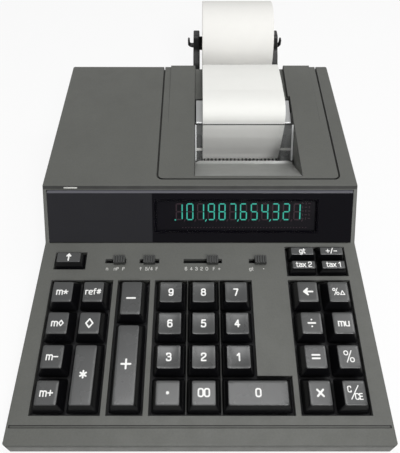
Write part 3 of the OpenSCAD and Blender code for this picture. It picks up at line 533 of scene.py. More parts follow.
def grow(tree, name, values, base=None):
    holder = addObject(name, base or bpy.data.meshes.new(name))
    shape = holder.modifiers.new("shape", "NODES")
    shape.node_group = tree
    for item in tree.interface.items_tree:
        if item.in_out == "INPUT" and item.name in values:
            shape[item.identifier] = values[item.name]
    return bakeModifiers(holder)


# keys: a tapered cap with a satin top, grown by nodes for each key
keyBlocks = {
    "rise": 6.6, "smallRise": 5.0, "skirt": 1.5, "taper": 2.6, "smallTaper": 1.56, "gap": 1.05,
    "corner": 1.3, "smallCorner": 0.78, "edge": 0.55, "smallEdge": 0.385, "hollow": 0.7, "deepHollow": 0.4,
    "stem": 2.5, "stemFoot": 8.2, "stemSides": 20, "cornerSteps": 5, "sideCuts": 5,
    "firstRow": 24.805, "rowPitch": 19.05, "smallRow": 100.395, "smallPitch": 9.35, "smallDepth": 8.3,
    "leftX": -80.43, "midX": -39.99, "numberX": -17.025, "rightX": 63.09, "fnPitch": 18.0,
    "feedV": 105.36, "feedWidth": 17.475, "feedDepth": 9.675,
}
k = keyBlocks


def keyCapTree():
    sizes = ("Width", "Depth", "Top Width", "Top Depth", "Foot", "Rise", "Corner", "Edge", "Hollow",
             "Deep Hollow", "Stem Radius", "Stem Foot")
    tree, get = newTree("keyCap", [(label, "Float") for label in sizes] + [("Finish", "Material")])
    outline = geoNode(tree, "CurvePrimitiveQuadrilateral", {"Width": get["Width"], "Height": get["Depth"]})
    soft = geoNode(tree, "FilletCurve", {"Curve": outline, "Radius": get["Corner"], "Count": k["cornerSteps"],
                                         "Limit Radius": True}, mode="POLY")
    cut = geoNode(tree, "SubdivideCurve", {"Curve": soft, "Cuts": k["sideCuts"]})
    floor = geoNode(tree, "FillCurve", {"Curve": cut}, mode="NGONS")
    marked = stored(tree, floor, "outline", position(tree), "FLOAT_VECTOR")
    home = named(tree, "outline", "FLOAT_VECTOR")
    mesh = moved(tree, marked, Offset=vector(tree, 0.0, 0.0, get["Foot"]))
    under = geoNode(tree, "FlipFaces", {"Mesh": mesh})
    # rings: edge radii taken off the width, edge radii below the top, scale of the top
    arcMiddle = 0.293  # of a quarter round
    rings = [(0.0, 1.0, 1.0), (2 * arcMiddle, arcMiddle, 1.0), (2.0, 0.0, 1.0)]
    rings += [(2.0, 0.0, scale) for scale in (0.8, 0.6, 0.4, 0.2, 0.05)]
    chosen = None
    for inset, drop, scale in rings:
        step = {"Mesh": mesh, "Offset Scale": 0.0, "Individual": False}
        if chosen is not None:
            step["Selection"] = chosen
        grown = addNode(tree, "GeometryNodeExtrudeMesh", step, mode="FACES").outputs
        chosen = grown["Top"]
        size = []
        for label in ("Width", "Depth"):
            left = less(tree, get["Top " + label], times(tree, get["Edge"], inset))
            size.append(times(tree, calc(tree, "DIVIDE", left, get[label]), scale))
        up = less(tree, get["Rise"], times(tree, get["Edge"], drop))
        scaled = vectorCalc(tree, "MULTIPLY", home, vector(tree, *size, 0.0))
        target = vectorCalc(tree, "ADD", scaled, vector(tree, 0.0, 0.0, up))
        mesh = moved(tree, grown["Mesh"], Selection=chosen, Position=target)
    part = parts(tree, position(tree))
    edgeFoot = less(tree, get["Rise"], get["Edge"])
    mesh = stored(tree, mesh, "capTop", span(tree, part["Z"], edgeFoot, get["Rise"], 0.0, 1.0))
    sags = []
    for axis, label, hollow in (("X", "Width", "Hollow"), ("Y", "Depth", "Deep Hollow")):
        share = calc(tree, "DIVIDE", part[axis], times(tree, get["Top " + label], 0.5))
        sags.append(times(tree, get[hollow], less(tree, times(tree, share, share), 1.0)))
    onTop = calc(tree, "GREATER_THAN", part["Z"], less(tree, edgeFoot, 1e-5))
    mesh = moved(tree, mesh, Offset=vector(tree, 0.0, 0.0, times(tree, onTop, plus(tree, *sags))))
    cap = geoNode(tree, "MergeByDistance", {"Geometry": joined(tree, under, mesh), "Distance": 1e-6})
    length = plus(tree, get["Stem Foot"], times(tree, get["Rise"], 0.6))  # ends inside the cap
    stem = geoNode(tree, "MeshCylinder", {"Vertices": k["stemSides"], "Radius": get["Stem Radius"],
                                          "Depth": length})
    middle = less(tree, times(tree, length, 0.5), get["Stem Foot"])
    stem = geoNode(tree, "Transform", {"Geometry": stem, "Translation": vector(tree, 0.0, 0.0, middle)})
    clean = geoNode(tree, "RemoveAttribute", {"Geometry": joined(tree, stem, cap), "Name": "outline"})
    return closeTree(tree, clean, get["Finish"])


plain, dished, small, feed = range(4)
fnWidth, numberWidth = k["fnPitch"] - k["gap"], k["rowPitch"] - k["gap"]
rows = [k["firstRow"] + i * k["rowPitch"] for i in range(4)]
left, right = ([k[side] + i * k["fnPitch"] for i in range(2)] for side in ("leftX", "rightX"))
number = [k["numberX"] + i * k["rowPitch"] for i in range(3)]


keyList = []  # name, x, v, width, depth, kind, legend


def addKey(name, words, x, v, width=fnWidth, rowCount=1, kind=plain):
    keyList.append((name, x, v, width, rowCount * k["rowPitch"] - k["gap"], kind, words))


def addColumn(x, *keys):  # from front to rear
    for v, (name, words) in zip(rows, keys):
        addKey(name, words, x, v)


addColumn(left[0], ("m_plus", "m+"), ("m_minus", "m-"), ("m_subtotal", "m◇"), ("m_total", "m★"))
addKey("total", "*", left[1], (rows[0] + rows[1]) / 2, rowCount=2)
addKey("subtotal", "◇", left[1], rows[2])
addKey("ref", "ref#", left[1], rows[3])
addKey("plus", "+", k["midX"], rows[0] + 0.8 * k["rowPitch"], rowCount=2.6)
addKey("minus", "-", k["midX"], rows[3] - 0.2 * k["rowPitch"], rowCount=1.4)
addKey("point", ".", number[0], rows[0], numberWidth)
addKey("00", "00", number[1], rows[0], numberWidth)
addKey("0", "0", number[2] + k["rowPitch"] / 2, rows[0], 2 * k["rowPitch"] - k["gap"])
for i in range(9):
    digit = str(3 * (i // 3) + 3 - i % 3)
    addKey(digit, digit, number[i % 3], rows[1 + i // 3], numberWidth, kind=dished)
addColumn(right[0], ("times", "×"), ("equals", "="), ("divide", "÷"), ("back", "←"))
addColumn(right[1], ("clear", "C/CE"), ("percent", "%"), ("markup", "mu"), ("delta", "%Δ"))
smallKeys = (("tax2", "tax 2"), ("tax1", "tax 1"), ("grand_total", "gt"), ("sign", "+/-"))
for i, (name, words) in enumerate(smallKeys):
    v = k["smallRow"] + i // 2 * k["smallPitch"]
    keyList.append((name, right[i % 2], v, fnWidth, k["smallDepth"], small, words))
keyList.append(("feed", left[0], k["feedV"], k["feedWidth"], k["feedDepth"], feed, "↑"))

capTree = keyCapTree()
for name, x, v, width, depth, kind, words in keyList:
    low = kind in (small, feed)
    taper = k["smallTaper"] if low else k["taper"]
    sizes = {
        "Width": width, "Depth": depth, "Top Width": width - 2 * taper, "Top Depth": depth - 2 * taper,
        "Foot": -k["skirt"], "Rise": k["smallRise"] if low else k["rise"],
        "Corner": k["smallCorner"] if low else k["corner"], "Edge": k["smallEdge"] if low else k["edge"],
        "Hollow": k["hollow"] if kind == dished else 0.0,
        "Deep Hollow": k["deepHollow"] if kind == dished else 0.0,
        "Stem Radius": k["stem"], "Stem Foot": k["stemFoot"]}
    values = {label: size * mm for label, size in sizes.items()}
    cap = grow(capTree, "cap_" + name, {**values, "Finish": looks["keys"]})
    cap.data.transform(deckFrame @ shifted(x, v))
    smoothFaces(cap, 50)
    fit(cap, "key_" + name, "keys", "key_" + name)
print("key caps grown,", len(keyList))


# legends: strokes on a 7 high grid, widened and filled as one clean outline
def loop(x0, y0, x1, y1, r):
    return (r, True, [(x0, y0), (x1, y0), (x1, y1), (x0, y1)])


def line(r, *points):
    return (r, False, list(points))


def spoke(x, y, reach, turn):  # from the middle of a star
    return line(0, (x, y), (x + reach * math.sin(rad(turn)), y + reach * math.cos(rad(turn))))


def cross(x, y, reach, turn):  # through the middle of a star
    a, b = reach * math.cos(rad(turn)), reach * math.sin(rad(turn))
    return line(0, (x - a, y - b), (x + a, y + b))


glyphs = {  # width and strokes
    "0": (4.4, [loop(0, 0, 4.4, 7, 1.9)]),
    "1": (2.2, [line(0.4, (0, 5.2), (1.9, 7), (1.9, 0))]),
    "2": (4, [line(1.7, (0, 5.2), (0, 7), (4, 7), (4, 4.3), (0, 1.7), (0, 0.0)),
              line(0.1, (0, 0.35), (0, 0), (4, 0))]),
    "3": (4, [line(1.6, (0, 5.7), (0, 7), (3.8, 7), (3.8, 3.7), (1.4, 3.7)),
              line(1.7, (1.4, 3.7), (4, 3.7), (4, 0), (0, 0), (0, 1.3))]),
    "4": (4.4, [line(0.2, (3.1, 0), (3.1, 7), (0, 2.1), (4.5, 2.1))]),
    "5": (4, [line(0.3, (3.7, 7), (0.5, 7), (0.2, 4.2)),
              line(1.8, (0.2, 4.0), (0.4, 4.3), (4, 4.3), (4, 0), (0, 0), (0, 1.2))]),
    "6": (4, [loop(0, 0, 4, 4.2, 1.8), line(2.4, (0, 2.2), (0, 7), (3.6, 7), (3.6, 6.2))]),
    "7": (4, [line(0.3, (0, 7), (4, 7), (1.5, 0))]),
    "8": (4, [loop(0.2, 3.8, 3.8, 7, 1.5), loop(0, 0, 4, 3.8, 1.7)]),
    "9": (4, [loop(0, 2.8, 4, 7, 1.8), line(2.4, (4, 4.8), (4, 0), (0.4, 0), (0.4, 0.8))]),
    ".": (0.6, [line(0, (0.3, 3.3), (0.32, 3.3))]),
    "m": (6, [line(0, (0, 0), (0, 5)), line(1.5, (0, 3), (0, 4.9), (3, 4.9), (3, 0)),
              line(1.5, (3, 3), (3, 4.9), (6, 4.9), (6, 0))]),
    "u": (3.7, [line(1.5, (0, 4.9), (0, 0), (3.7, 0), (3.7, 2)), line(0, (3.7, 4.9), (3.7, 0))]),
    "r": (2.6, [line(0, (0, 0), (0, 4.9)), line(1.6, (0, 2.8), (0, 4.9), (2.6, 4.9))]),
    "e": (3.8, [line(1.6, (0, 2.6), (3.8, 2.6), (3.8, 4.9), (0, 4.9), (0, 0), (3.5, 0))]),
    "f": (2.6, [line(1.4, (1, 0), (1, 7), (2.7, 7)), line(0, (0, 4.9), (2.4, 4.9))]),
    "t": (2.6, [line(1.3, (1, 6.8), (1, 0), (2.7, 0)), line(0, (0, 4.9), (2.6, 4.9))]),
    "a": (3.6, [line(1.5, (0.3, 4.9), (3.6, 4.9), (3.6, 0)), loop(0, 0, 3.6, 2.8, 1.3)]),
    "x": (3.6, [line(0, (0, 0), (3.6, 4.9)), line(0, (0, 4.9), (3.6, 0))]),
    "g": (3.7, [loop(0, 0, 3.7, 4.9, 1.6), line(1.4, (3.7, 4.9), (3.7, -1.9), (0.4, -1.9))]),
    "C": (3.9, [line(1.8, (3.9, 5.4), (3.9, 7), (0, 7), (0, 0), (3.9, 0), (3.9, 1.6))]),
    "E": (3.4, [line(0.1, (3.4, 7), (0, 7), (0, 0), (3.4, 0)), line(0, (0, 3.6), (3.0, 3.6))]),
    "F": (3.4, [line(0.1, (3.4, 7), (0, 7), (0, 0)), line(0, (0, 3.6), (2.8, 3.6))]),
    "P": (3.6, [line(1.4, (0, 0), (0, 7), (3.6, 7), (3.6, 3.2), (0, 3.2))]),
    "n": (3.6, [line(0, (0, 0), (0, 4.9)), line(1.5, (0, 3), (0, 4.9), (3.6, 4.9), (3.6, 0))]),
    "%": (6, [loop(0, 4.4, 2.4, 7, 1.2), loop(3.6, 0, 6, 2.6, 1.2), line(0, (1.3, -0.2), (4.8, 7.2))]),
    "Δ": (4.4, [(0.1, True, [(0, 0), (4.4, 0), (2.2, 4.4)])]),
    "◇": (4.6, [(0.1, True, [(2.3, 0.2), (4.6, 3.2), (2.3, 6.2), (0, 3.2)])]),
    "#": (4.2, [line(0, (1.0, 0.8), (1.8, 6.2)), line(0, (2.6, 0.8), (3.4, 6.2)),
                line(0, (0.2, 4.6), (4.4, 4.6)), line(0, (0, 2.4), (4.2, 2.4))]),
    "*": (4.0, [cross(2, 3.4, 2, turn) for turn in (90, 30, 150)]),
    "★": (4.4, [spoke(2.2, 2.9, 2.3, 72 * i) for i in range(5)]),
    "+": (4.6, [line(0, (0, 3.2), (4.6, 3.2)), line(0, (2.3, 0.9), (2.3, 5.5))]),
    "-": (4.0, [line(0, (0, 3.2), (4.0, 3.2))]),
    "=": (4.6, [line(0, (0, 2.2), (4.6, 2.2)), line(0, (0, 4.4), (4.6, 4.4))]),
    "×": (4.0, [line(0, (0.2, 1.4), (3.8, 5.2)), line(0, (0.2, 5.2), (3.8, 1.4))]),
    "÷": (4.6, [line(0, (0, 3.3), (4.6, 3.3)), line(0, (2.3, 5.6), (2.32, 5.6)),
                line(0, (2.3, 1.0), (2.32, 1.0))]),
    "/": (3.0, [line(0, (0, -0.4), (3.0, 7.4))]),
    "←": (5.6, [line(0, (0.6, 3.4), (5.6, 3.4)), line(0.1, (2.6, 5.4), (0.3, 3.4), (2.6, 1.4)),
                line(0.1, (2.2, 4.5), (0.9, 3.4), (2.2, 2.3))]),
    "↑": (4.0, [line(0, (2, 0), (2, 6.6)), line(0.1, (0.2, 4.7), (2, 6.9), (3.8, 4.7)),
                line(0.1, (1.0, 4.8), (2, 6.0), (3.0, 4.8))]),
    " ": (1.2, []),
}
glyphHeight, glyphMiddle = 7, 3.4


def roundCorners(points, closed, r, steps=5):
    made, count = [], len(points)
    for i, p in enumerate(points):
        p = Vector(p)
        if r <= 0 or (not closed and i in (0, count - 1)):
            made.append(p)
            continue
        a, b = Vector(points[i - 1]) - p, Vector(points[(i + 1) % count]) - p
        reach = min(r, a.length * 0.5, b.length * 0.5)
        a, b = p + a.normalized() * reach, p + b.normalized() * reach
        for j in range(steps + 1):
            t = j / steps
            made.append(a * (1 - t) ** 2 + p * 2 * t * (1 - t) + b * t ** 2)
    return made + made[:1] if closed else made


def layWords(words, height, x, y, tracking=1.5):  # centred on x, y
    unit = height / glyphHeight
    total = sum(glyphs[c][0] for c in words) + tracking * (len(words) - 1)
    at, strokes = -total / 2, []
    for c in words:
        for r, closed, points in glyphs[c][1]:
            strokes.append([((at + p[0]) * unit + x, (p[1] - glyphMiddle) * unit + y)
                            for p in roundCorners(points, closed, r)])
        at += glyphs[c][0] + tracking
    return strokes


def strokeField(strokes, half, cell):  # distance to the strokes on a grid
    points = np.array([p for s in strokes for p in s])
    low, high = points.min(0) - half - 2 * cell, points.max(0) + half + 2 * cell
    xs, ys = np.arange(low[0], high[0], cell), np.arange(low[1], high[1], cell)
    grid = np.stack(np.meshgrid(xs, ys, indexing="ij"), -1)
    field = np.full(grid.shape[:2], 1e9)
    for s in strokes:
        for p, q in zip(s[:-1], s[1:]):
            p, d = np.array(p), np.array(q) - np.array(p)
            t = np.clip(((grid - p) @ d) / max(d @ d, 1e-12), 0, 1)
            field = np.minimum(field, np.linalg.norm(grid - p - t[..., None] * d, axis=-1))
    return xs, ys, field - half


def fillStrokes(name, groups, lift, thick):
    made = bmesh.new()
    for strokes, half, cell in groups:
        xs, ys, field = strokeField(strokes, half, cell)
        known = {}

        def corner(i, j):
            if (i, j) not in known:
                known[(i, j)] = made.verts.new((xs[i], ys[j], 0))
            return known[(i, j)]

        def crossing(a, b):
            key = (min(a, b), max(a, b))
            if key not in known:
                t = field[a] / (field[a] - field[b])
                x = xs[a[0]] + (xs[b[0]] - xs[a[0]]) * t
                known[key] = made.verts.new((x, ys[a[1]] + (ys[b[1]] - ys[a[1]]) * t, 0))
            return known[key]

        inside = field < 0
        touched = inside[:-1, :-1] | inside[1:, :-1] | inside[1:, 1:] | inside[:-1, 1:]
        for i, j in np.argwhere(touched):
            ring = [(i, j), (i + 1, j), (i + 1, j + 1), (i, j + 1)]
            face = []
            for a, b in zip(ring, ring[1:] + ring[:1]):
                if inside[a]:
                    face.append(corner(*a))
                if inside[a] != inside[b]:
                    face.append(crossing(a, b))
            if len(face) > 2:
                made.faces.new(face)
    bmesh.ops.remove_doubles(made, verts=made.verts, dist=1e-4)
    for vert in made.verts:
        vert.co.z = lift(vert.co.x, vert.co.y)
    bmesh.ops.scale(made, vec=(mm, mm, mm), verts=made.verts)
    return thicken(fromBmesh(name, made), thick, -0.4)


def paint(mark, place, look, body):
    mark.data.transform(place)
    mark.data.materials.append(looks[look])
    return fit(smoothFaces(mark, 30), body, "white")


legends = {  # size of the letters and width of the stroke, in millimetres
    "digit": (3.9, 0.84), "m": (3.7, 0.70), "ref#": (3.4, 0.58), "◇": (5.9, 0.85), "*": (6.2, 0.95),
    "+": (7.4, 1.05), "-": (8.2, 1.0), ".": (5.0, 1.7), "=": (6.0, 0.95), "×": (6.0, 1.05), "÷": (6.0, 1.0),
    "←": (6.6, 1.05), "%": (5.9, 0.58), "%Δ": (3.9, 0.54), "tax 1": (3.1, 0.56), "tax 2": (3.1, 0.56),
    "gt": (3.0, 0.56), "+/-": (3.1, 0.56), "↑": (4.4, 0.85),
}
legendPaint = {"above": 0.03, "thick": 0.09, "finest": 0.12}
clearLegend = {"size": 2.9, "upper": (-2.6, 1.8), "lower": (1.9, -1.9), "tracking": 1.6, "half": 0.27,
               "bar": [(-2.1, -3.2), (2.2, 3.6)]}
for name, x, v, width, depth, kind, words in keyList:
    rise = k["smallRise"] if kind in (small, feed) else k["rise"]
    if words == "C/CE":  # one letter above the bar and two below it
        strokes = layWords("C", clearLegend["size"], *clearLegend["upper"]) + layWords(
            "CE", clearLegend["size"], *clearLegend["lower"], clearLegend["tracking"]) + [clearLegend["bar"]]
        groups = [(strokes, clearLegend["half"], legendPaint["finest"])]
    else:
        size, stroke = legends.get(words) or legends["m" if words[0] == "m" else "digit"]
        groups = [(layWords(words, size, 0, 0), stroke / 2, max(legendPaint["finest"], stroke / 6))]
    halfX, halfY = width / 2 - k["taper"], depth / 2 - k["taper"]

    def onCap(x, y):  # height of the cap's top, which sags on a dished key
        sag = k["hollow"] * (1 - (x / halfX) ** 2) + k["deepHollow"] * (1 - (y / halfY) ** 2)
        return rise + legendPaint["above"] - (sag if kind == dished else 0.0)

    mark = fillStrokes("legend_" + name, groups, onCap, legendPaint["thick"])
    paint(mark, deckFrame @ shifted(x, v), "legend", "key_" + name)
print("legends filled")

# marks under the slide switches
switchMarks = {
    "v": 99.9, "size": 2.0, "stroke": 0.36, "tracking": 1.8, "finest": 0.08, "above": 0.02, "thick": 0.06,
    "words": (
        ("n", -57.2), ("nP", -51.6), ("P", -47.2), ("↑", -36.6), ("5/4", -31.4), ("F", -26.6), ("6", -8.6),
        ("4", -5.4), ("3", -2.2), ("2", 1.0), ("0", 4.2), ("F", 8.6), ("+", 11.8), ("gt", 31.6), (".", 39.2)),
}
groups = []
for words, x in switchMarks["words"]:
    half = switchMarks["stroke"] / 2 * (2 if words == "." else 1)
    strokes = layWords(words, switchMarks["size"], x, switchMarks["v"], switchMarks["tracking"])
    groups.append((strokes, half, switchMarks["finest"]))
mark = fillStrokes("switch_marks", groups, lambda x, y: switchMarks["above"], switchMarks["thick"])
paint(mark, deckFrame, "mark", "case")

# how far each small face lies in a gap, which sets the painted shade there: share of short rays that meet the
# case
gapTest = {"reach": 2.4, "rays": 28, "largest": 60.0, "start": 0.04, "turn": 2.39996, "around": (
    "top_case", "base_pan", "printer_cover", "display_window", "tear_window")}


def markCrevices(obj):
    corners, faces = [], []
    for node in gapTest["around"]:
        mesh, start = nodes[node].data, len(corners)
        corners += [v.co.copy() for v in mesh.vertices]
        faces += [[start + i for i in p.vertices] for p in mesh.polygons]
    wall = BVHTree.FromPolygons(corners, faces)
    rays = []
    for i in range(gapTest["rays"]):
        up, turn = 1 - (i + 0.5) / gapTest["rays"], i * gapTest["turn"]
        flat = math.sqrt(1 - up * up)
        rays.append(Vector((flat * math.cos(turn), flat * math.sin(turn), up)))
    shares = []
    for face in obj.data.polygons:
        hits = 0
        if face.area < gapTest["largest"] * mm * mm:
            lean = face.normal.to_track_quat("Z", "Y")
            start = face.center + face.normal * gapTest["start"] * mm
            hits = sum(wall.ray_cast(start, lean @ ray, gapTest["reach"] * mm)[0] is not None for ray in rays)
        shares.append(hits / gapTest["rays"])
    setValues(obj.data, "crevice", "FACE", shares)


# shells and small parts from the solids, edges rounded
shells = [  # name, node, look, slot, width and steps of the round, least angle and length of an edge
    ("case_top", "top_case", "case", "case", 0.35, 2, 28, 0.9),
    ("case_base", "base_pan", "case", "case", 0.4, 2, 40, 0.9),
    ("cover_panel", "printer_cover", "case", "case", 0.3, 2, 28, 0.9),
    ("roll_arms", "roll_holder", "arms", "black", 0.7, 2, 30, 0.5),
    ("foot_pads", "feet", "rubber", "rubber", 0.5, 2, 30, 0.2),
    ("case_screws", "screws", "steel", "steel", 0.2, 2, 40, 0.3),
    ("window_panel", "display_window", "window", "window", 0.3, 2, 20, 0.5),
    ("tube_glass", "display_tube", "tubeGlass", "tube", 0.4, 2, 30, 0.5),
    ("platen", "platen_roller", "rubber", "rubber", 0.15, 1, 40, 0.3),
    ("feed_rod", "feed_shaft", "rod", "white", 0.25, 2, 40, 0.1),
    ("gear_wheel", "drive_gear", "nylon", "white", 0.12, 1, 40, 0.3),
    ("motor_can", "drive_motor", "steel", "steel", 0.5, 2, 40, 0.2),
    ("head_block", "print_head", "black", "black", 0.4, 2, 30, 0.5),
    ("ribbon_spool_left", "spool_left", "black", "black", 0.3, 2, 30, 0.3),
    ("ribbon_spool_right", "spool_right", "black", "black", 0.3, 2, 30, 0.3),
    ("key_plate", "keyboard_plate", "plate", "plate", 0.3, 1, 40, 0.6),
    ("circuit_board", "main_board", "board", "board", 0.4, 2, 40, 0.5),
]
for knob in ("print", "round", "decimal", "total"):
    shells.append(("knob_" + knob, "slider_" + knob, "switches", "switches", 0.16, 2, 40, 0.3))
for name, node, look, slot, width, steps, angle, shortest in shells:
    made = mergedCopy(node)
    weightEdges(made, angle, shortest)
    piece = fit(roundEdges(fromBmesh(name, made, look), width, steps), bodyOf(node), slot, node)
    if look == "case":
        markCrevices(piece)
print("shells rounded,", len(shells))

# a light grey bar set in the strip above the window, a painted highlight built as a raised bar
paintedHighlightBar = {"x": -80.5, "s": 35.0, "long": 8.4, "high": 0.9, "proud": 0.25, "edge": 0.2}
made = bmesh.new()
bmesh.ops.create_cube(made, size=1.0)
barSize = (paintedHighlightBar["long"] * mm, paintedHighlightBar["high"] * mm, 2 * paintedHighlightBar["proud"] * mm)
bmesh.ops.scale(made, vec=barSize, verts=made.verts)
weightEdges(made, 40, 0.0)
bar = fromBmesh("pale_bar", made, "mark")
bar.data.transform(faceFrame @ shifted(paintedHighlightBar["x"], paintedHighlightBar["s"]))
fit(roundEdges(bar, paintedHighlightBar["edge"], 3), "case", "case")

# printer frame in zinc, its comb in plastic
printerFrame = {"combLow": (195.0, 19.0), "combHigh": (202.0, 25.2), "edge": 0.2}
low, high = (casePoint(0, *printerFrame[limit]) for limit in ("combLow", "combHigh"))
made = mergedCopy("printer_frame")
middles = [face.calc_center_median() for face in made.faces]
isComb = [low[1] < c.y < high[1] and low[2] < c.z < high[2] for c in middles]
for name, mesh, keep, look, slot in (("printer_plates", made, False, "zinc", "zinc"),
                                     ("ribbon_comb", made.copy(), True, "comb", "black")):
    other = [face for face, comb in zip(mesh.faces, isComb) if comb != keep]
    bmesh.ops.delete(mesh, geom=other, context="FACES")
    weightEdges(mesh, 40, 0.6)
    fit(roundEdges(fromBmesh(name, mesh, look), printerFrame["edge"]), "case", slot, "printer_frame")

# tear window: silver slope and clear pane, parted at the fold
tearWindow = {"fold": (179.878, 40.686), "slope": -30.0, "pane": 50.5, "edge": 0.2, "side": 1.0, "line": 0.7}
foldPoint = Vector(casePoint(0, *tearWindow["fold"]))
slopeWay = slopeEnd((0, 0), 1, tearWindow["slope"])
foldNormal = Vector((0, *slopeEnd(slopeWay, 1, tearWindow["pane"]))).normalized()
paneWay, acrossWay = Vector((0, *slopeEnd((0, 0), 1, tearWindow["pane"]))), Vector((1, 0, 0))
rims = (("paneEdge", acrossWay, tearWindow["side"]), ("paneEdge", -acrossWay, tearWindow["side"]),
        ("tearEdge", paneWay, tearWindow["line"]))
for name, look, isSlope in (("tear_slope", "slope", True), ("tear_pane", "clear", False)):
    made = mergedCopy("tear_window")
    cutAcross(made, foldPoint, foldNormal, clear_outer=isSlope, clear_inner=not isSlope)
    bmesh.ops.holes_fill(made, edges=[e for e in made.edges if e.is_boundary], sides=0)
    bmesh.ops.recalc_face_normals(made, faces=made.faces)
    bands = []  # rims of the pane, cut off as faces of their own for the painted glints and the painted shade
    for label, way, width in rims:
        limit = max(v.co @ way for v in made.verts) - width * mm
        bands.append((label, way, limit))
        if not isSlope:
            cutAcross(made, way * limit, way)
    weightEdges(made, 30, 0.7)
    piece = roundEdges(fromBmesh(name, made, look), tearWindow["edge"])
    for label in ("paneEdge", "tearEdge"):
        own = [(way, limit) for kind, way, limit in bands if kind == label]
        setValues(piece.data, label, "FACE", [float(any(f.center @ way > limit for way, limit in own))
                                              for f in piece.data.polygons])
    fit(piece, "cover", "clear", "tear_window")
print("printer parts made")

# display: bars on the tube glass, lit or faint, measured across and up the face
display = {"first": -13.1, "pitch": 6.75, "width": 3.7, "low": 14.7, "high": 24.7, "stroke": 0.72,
           "depth": -1.40, "thick": 0.08, "digits": "101987654321", "commas": (2, 5, 8)}
comma = {"down": 0.5, "long": 1.5, "stroke": 0.6, "turn": 62}
point = {"right": 0.9, "down": 0.2, "long": 0.9, "stroke": 0.7}
tickRow = {"count": 42, "right": 2.2, "pitch": 1.9, "s": 9.6, "long": 0.8, "stroke": 0.45, "turn": 20}
signs = {"x": 64.6, "s": 15.4, "columns": 3, "rows": 5, "pitchX": 2.1, "pitchS": 2.4, "long": 1.5,
         "stroke": 0.5}
barsOf = {"0": "abcdef", "1": "bc", "2": "abdeg", "3": "abcdg", "4": "bcfg", "5": "acdfg", "6": "acdefg",
          "7": "abc", "8": "abcdefg", "9": "abcdfg"}


def barTree():
    tree, get = newTree("displayBars", [("Points", "Geometry"), ("Depth", "Float"), ("Finish", "Material")])
    bar = geoNode(tree, "MeshCube", {"Size": (1.0, 1.0, 1.0)})
    laid = geoNode(tree, "InstanceOnPoints", {
        "Points": geoNode(tree, "MeshToPoints", {"Mesh": get["Points"]}), "Instance": bar,
        "Rotation": vector(tree, 0.0, 0.0, named(tree, "turn")),
        "Scale": vector(tree, named(tree, "length"), named(tree, "thick"), get["Depth"])})
    return closeTree(tree, laid, get["Finish"])


def layBars(tree, name, bars, depth, look):  # x, s, length, thickness, turn
    mesh = bpy.data.meshes.new(name)
    mesh.from_pydata([(b[0] * mm, b[1] * mm, 0) for b in bars], [], [])
    for label, i, unit in (("length", 2, mm), ("thick", 3, mm), ("turn", 4, 1.0)):
        setValues(mesh, label, "POINT", [b[i] * unit for b in bars])
    return grow(tree, name, {"Depth": depth * mm, "Finish": looks[look]}, mesh)


litBars, faintBars = [], []
half, middle = (display["high"] - display["low"]) / 4, (display["high"] + display["low"]) / 2
wide, stroke = display["width"], display["stroke"]
for i, digit in enumerate(display["digits"]):
    x = display["first"] + i * display["pitch"]
    bars = {}
    for label, s in (("a", display["high"]), ("d", display["low"]), ("g", middle)):
        bars[label] = (x, s, wide - stroke, stroke, 0)
    for label, side, up in (("b", 1, 1), ("c", 1, -1), ("e", -1, -1), ("f", -1, 1)):
        bars[label] = (x + side * wide / 2, middle + up * half, 2 * half - stroke * 0.9, stroke, rad(90))
    for label, bar in bars.items():
        (litBars if label in barsOf[digit] else faintBars).append(bar)
    (litBars if i in display["commas"] else faintBars).append(
        (x + display["pitch"] / 2, display["low"] - comma["down"], comma["long"], comma["stroke"],
         rad(comma["turn"])))
litBars.append((display["first"] - display["pitch"] / 2 + point["right"], display["low"] - point["down"],
                point["long"], point["stroke"], 0))
for i in range(tickRow["count"]):
    faintBars.append((display["first"] + tickRow["right"] + i * tickRow["pitch"], tickRow["s"],
                      tickRow["long"], tickRow["stroke"], rad(tickRow["turn"])))
for c in range(signs["columns"]):
    for r in range(signs["rows"]):
        faintBars.append((signs["x"] + c * signs["pitchX"], signs["s"] + r * signs["pitchS"],
                          signs["long"], signs["stroke"], rad(90 * ((r + c) % 2))))
barField = barTree()
for name, bars, look in (("lit_segments", litBars, "lit"), ("faint_segments", faintBars, "ghost")):
    piece = layBars(barField, name, bars, display["thick"], look)
    piece.data.transform(faceFrame @ shifted(0, 0, display["depth"]))
    fit(piece, "case", "tube")
print("display laid,", len(litBars), "lit bars")

# paper: one strip from the roll past the tear edge to the tail, and the wound roll
paper = {
    "x": 30.5, "width": 57.15, "thick": 0.12, "ripple": 0.5, "rippleScale": 60.0, "rows": 260, "columns": 7,
    "platen": (209.5, 21.5), "wrap": 7.0, "wrapSteps": 10, "supply": (270.0, 16.0), "underRoll": 0.5,
    "crest": 6.4, "drawFrom": (199.6, 47.5), "drawTo": (203.04, 61.66),
}
roll = {
    "axis": (317.7, 50.8), "radius": 33.0, "core": 5.58, "coreWall": 1.15, "bodyFrom": 1.1, "windFrom": 1.2,
    "turns": 58, "turnSteps": 72, "share": 0.62, "recess": 0.25, "rim": 0.3, "sides": 96, "coreSides": 64,
}


def bezier(points, count):  # count steps along a curve with two handles
    a, b, c, d = (Vector(p) for p in points)
    return [tuple(a * (1 - t) ** 3 + b * 3 * t * (1 - t) ** 2 + c * 3 * t * t * (1 - t) + d * t ** 3)
            for t in (i / count for i in range(count + 1))]


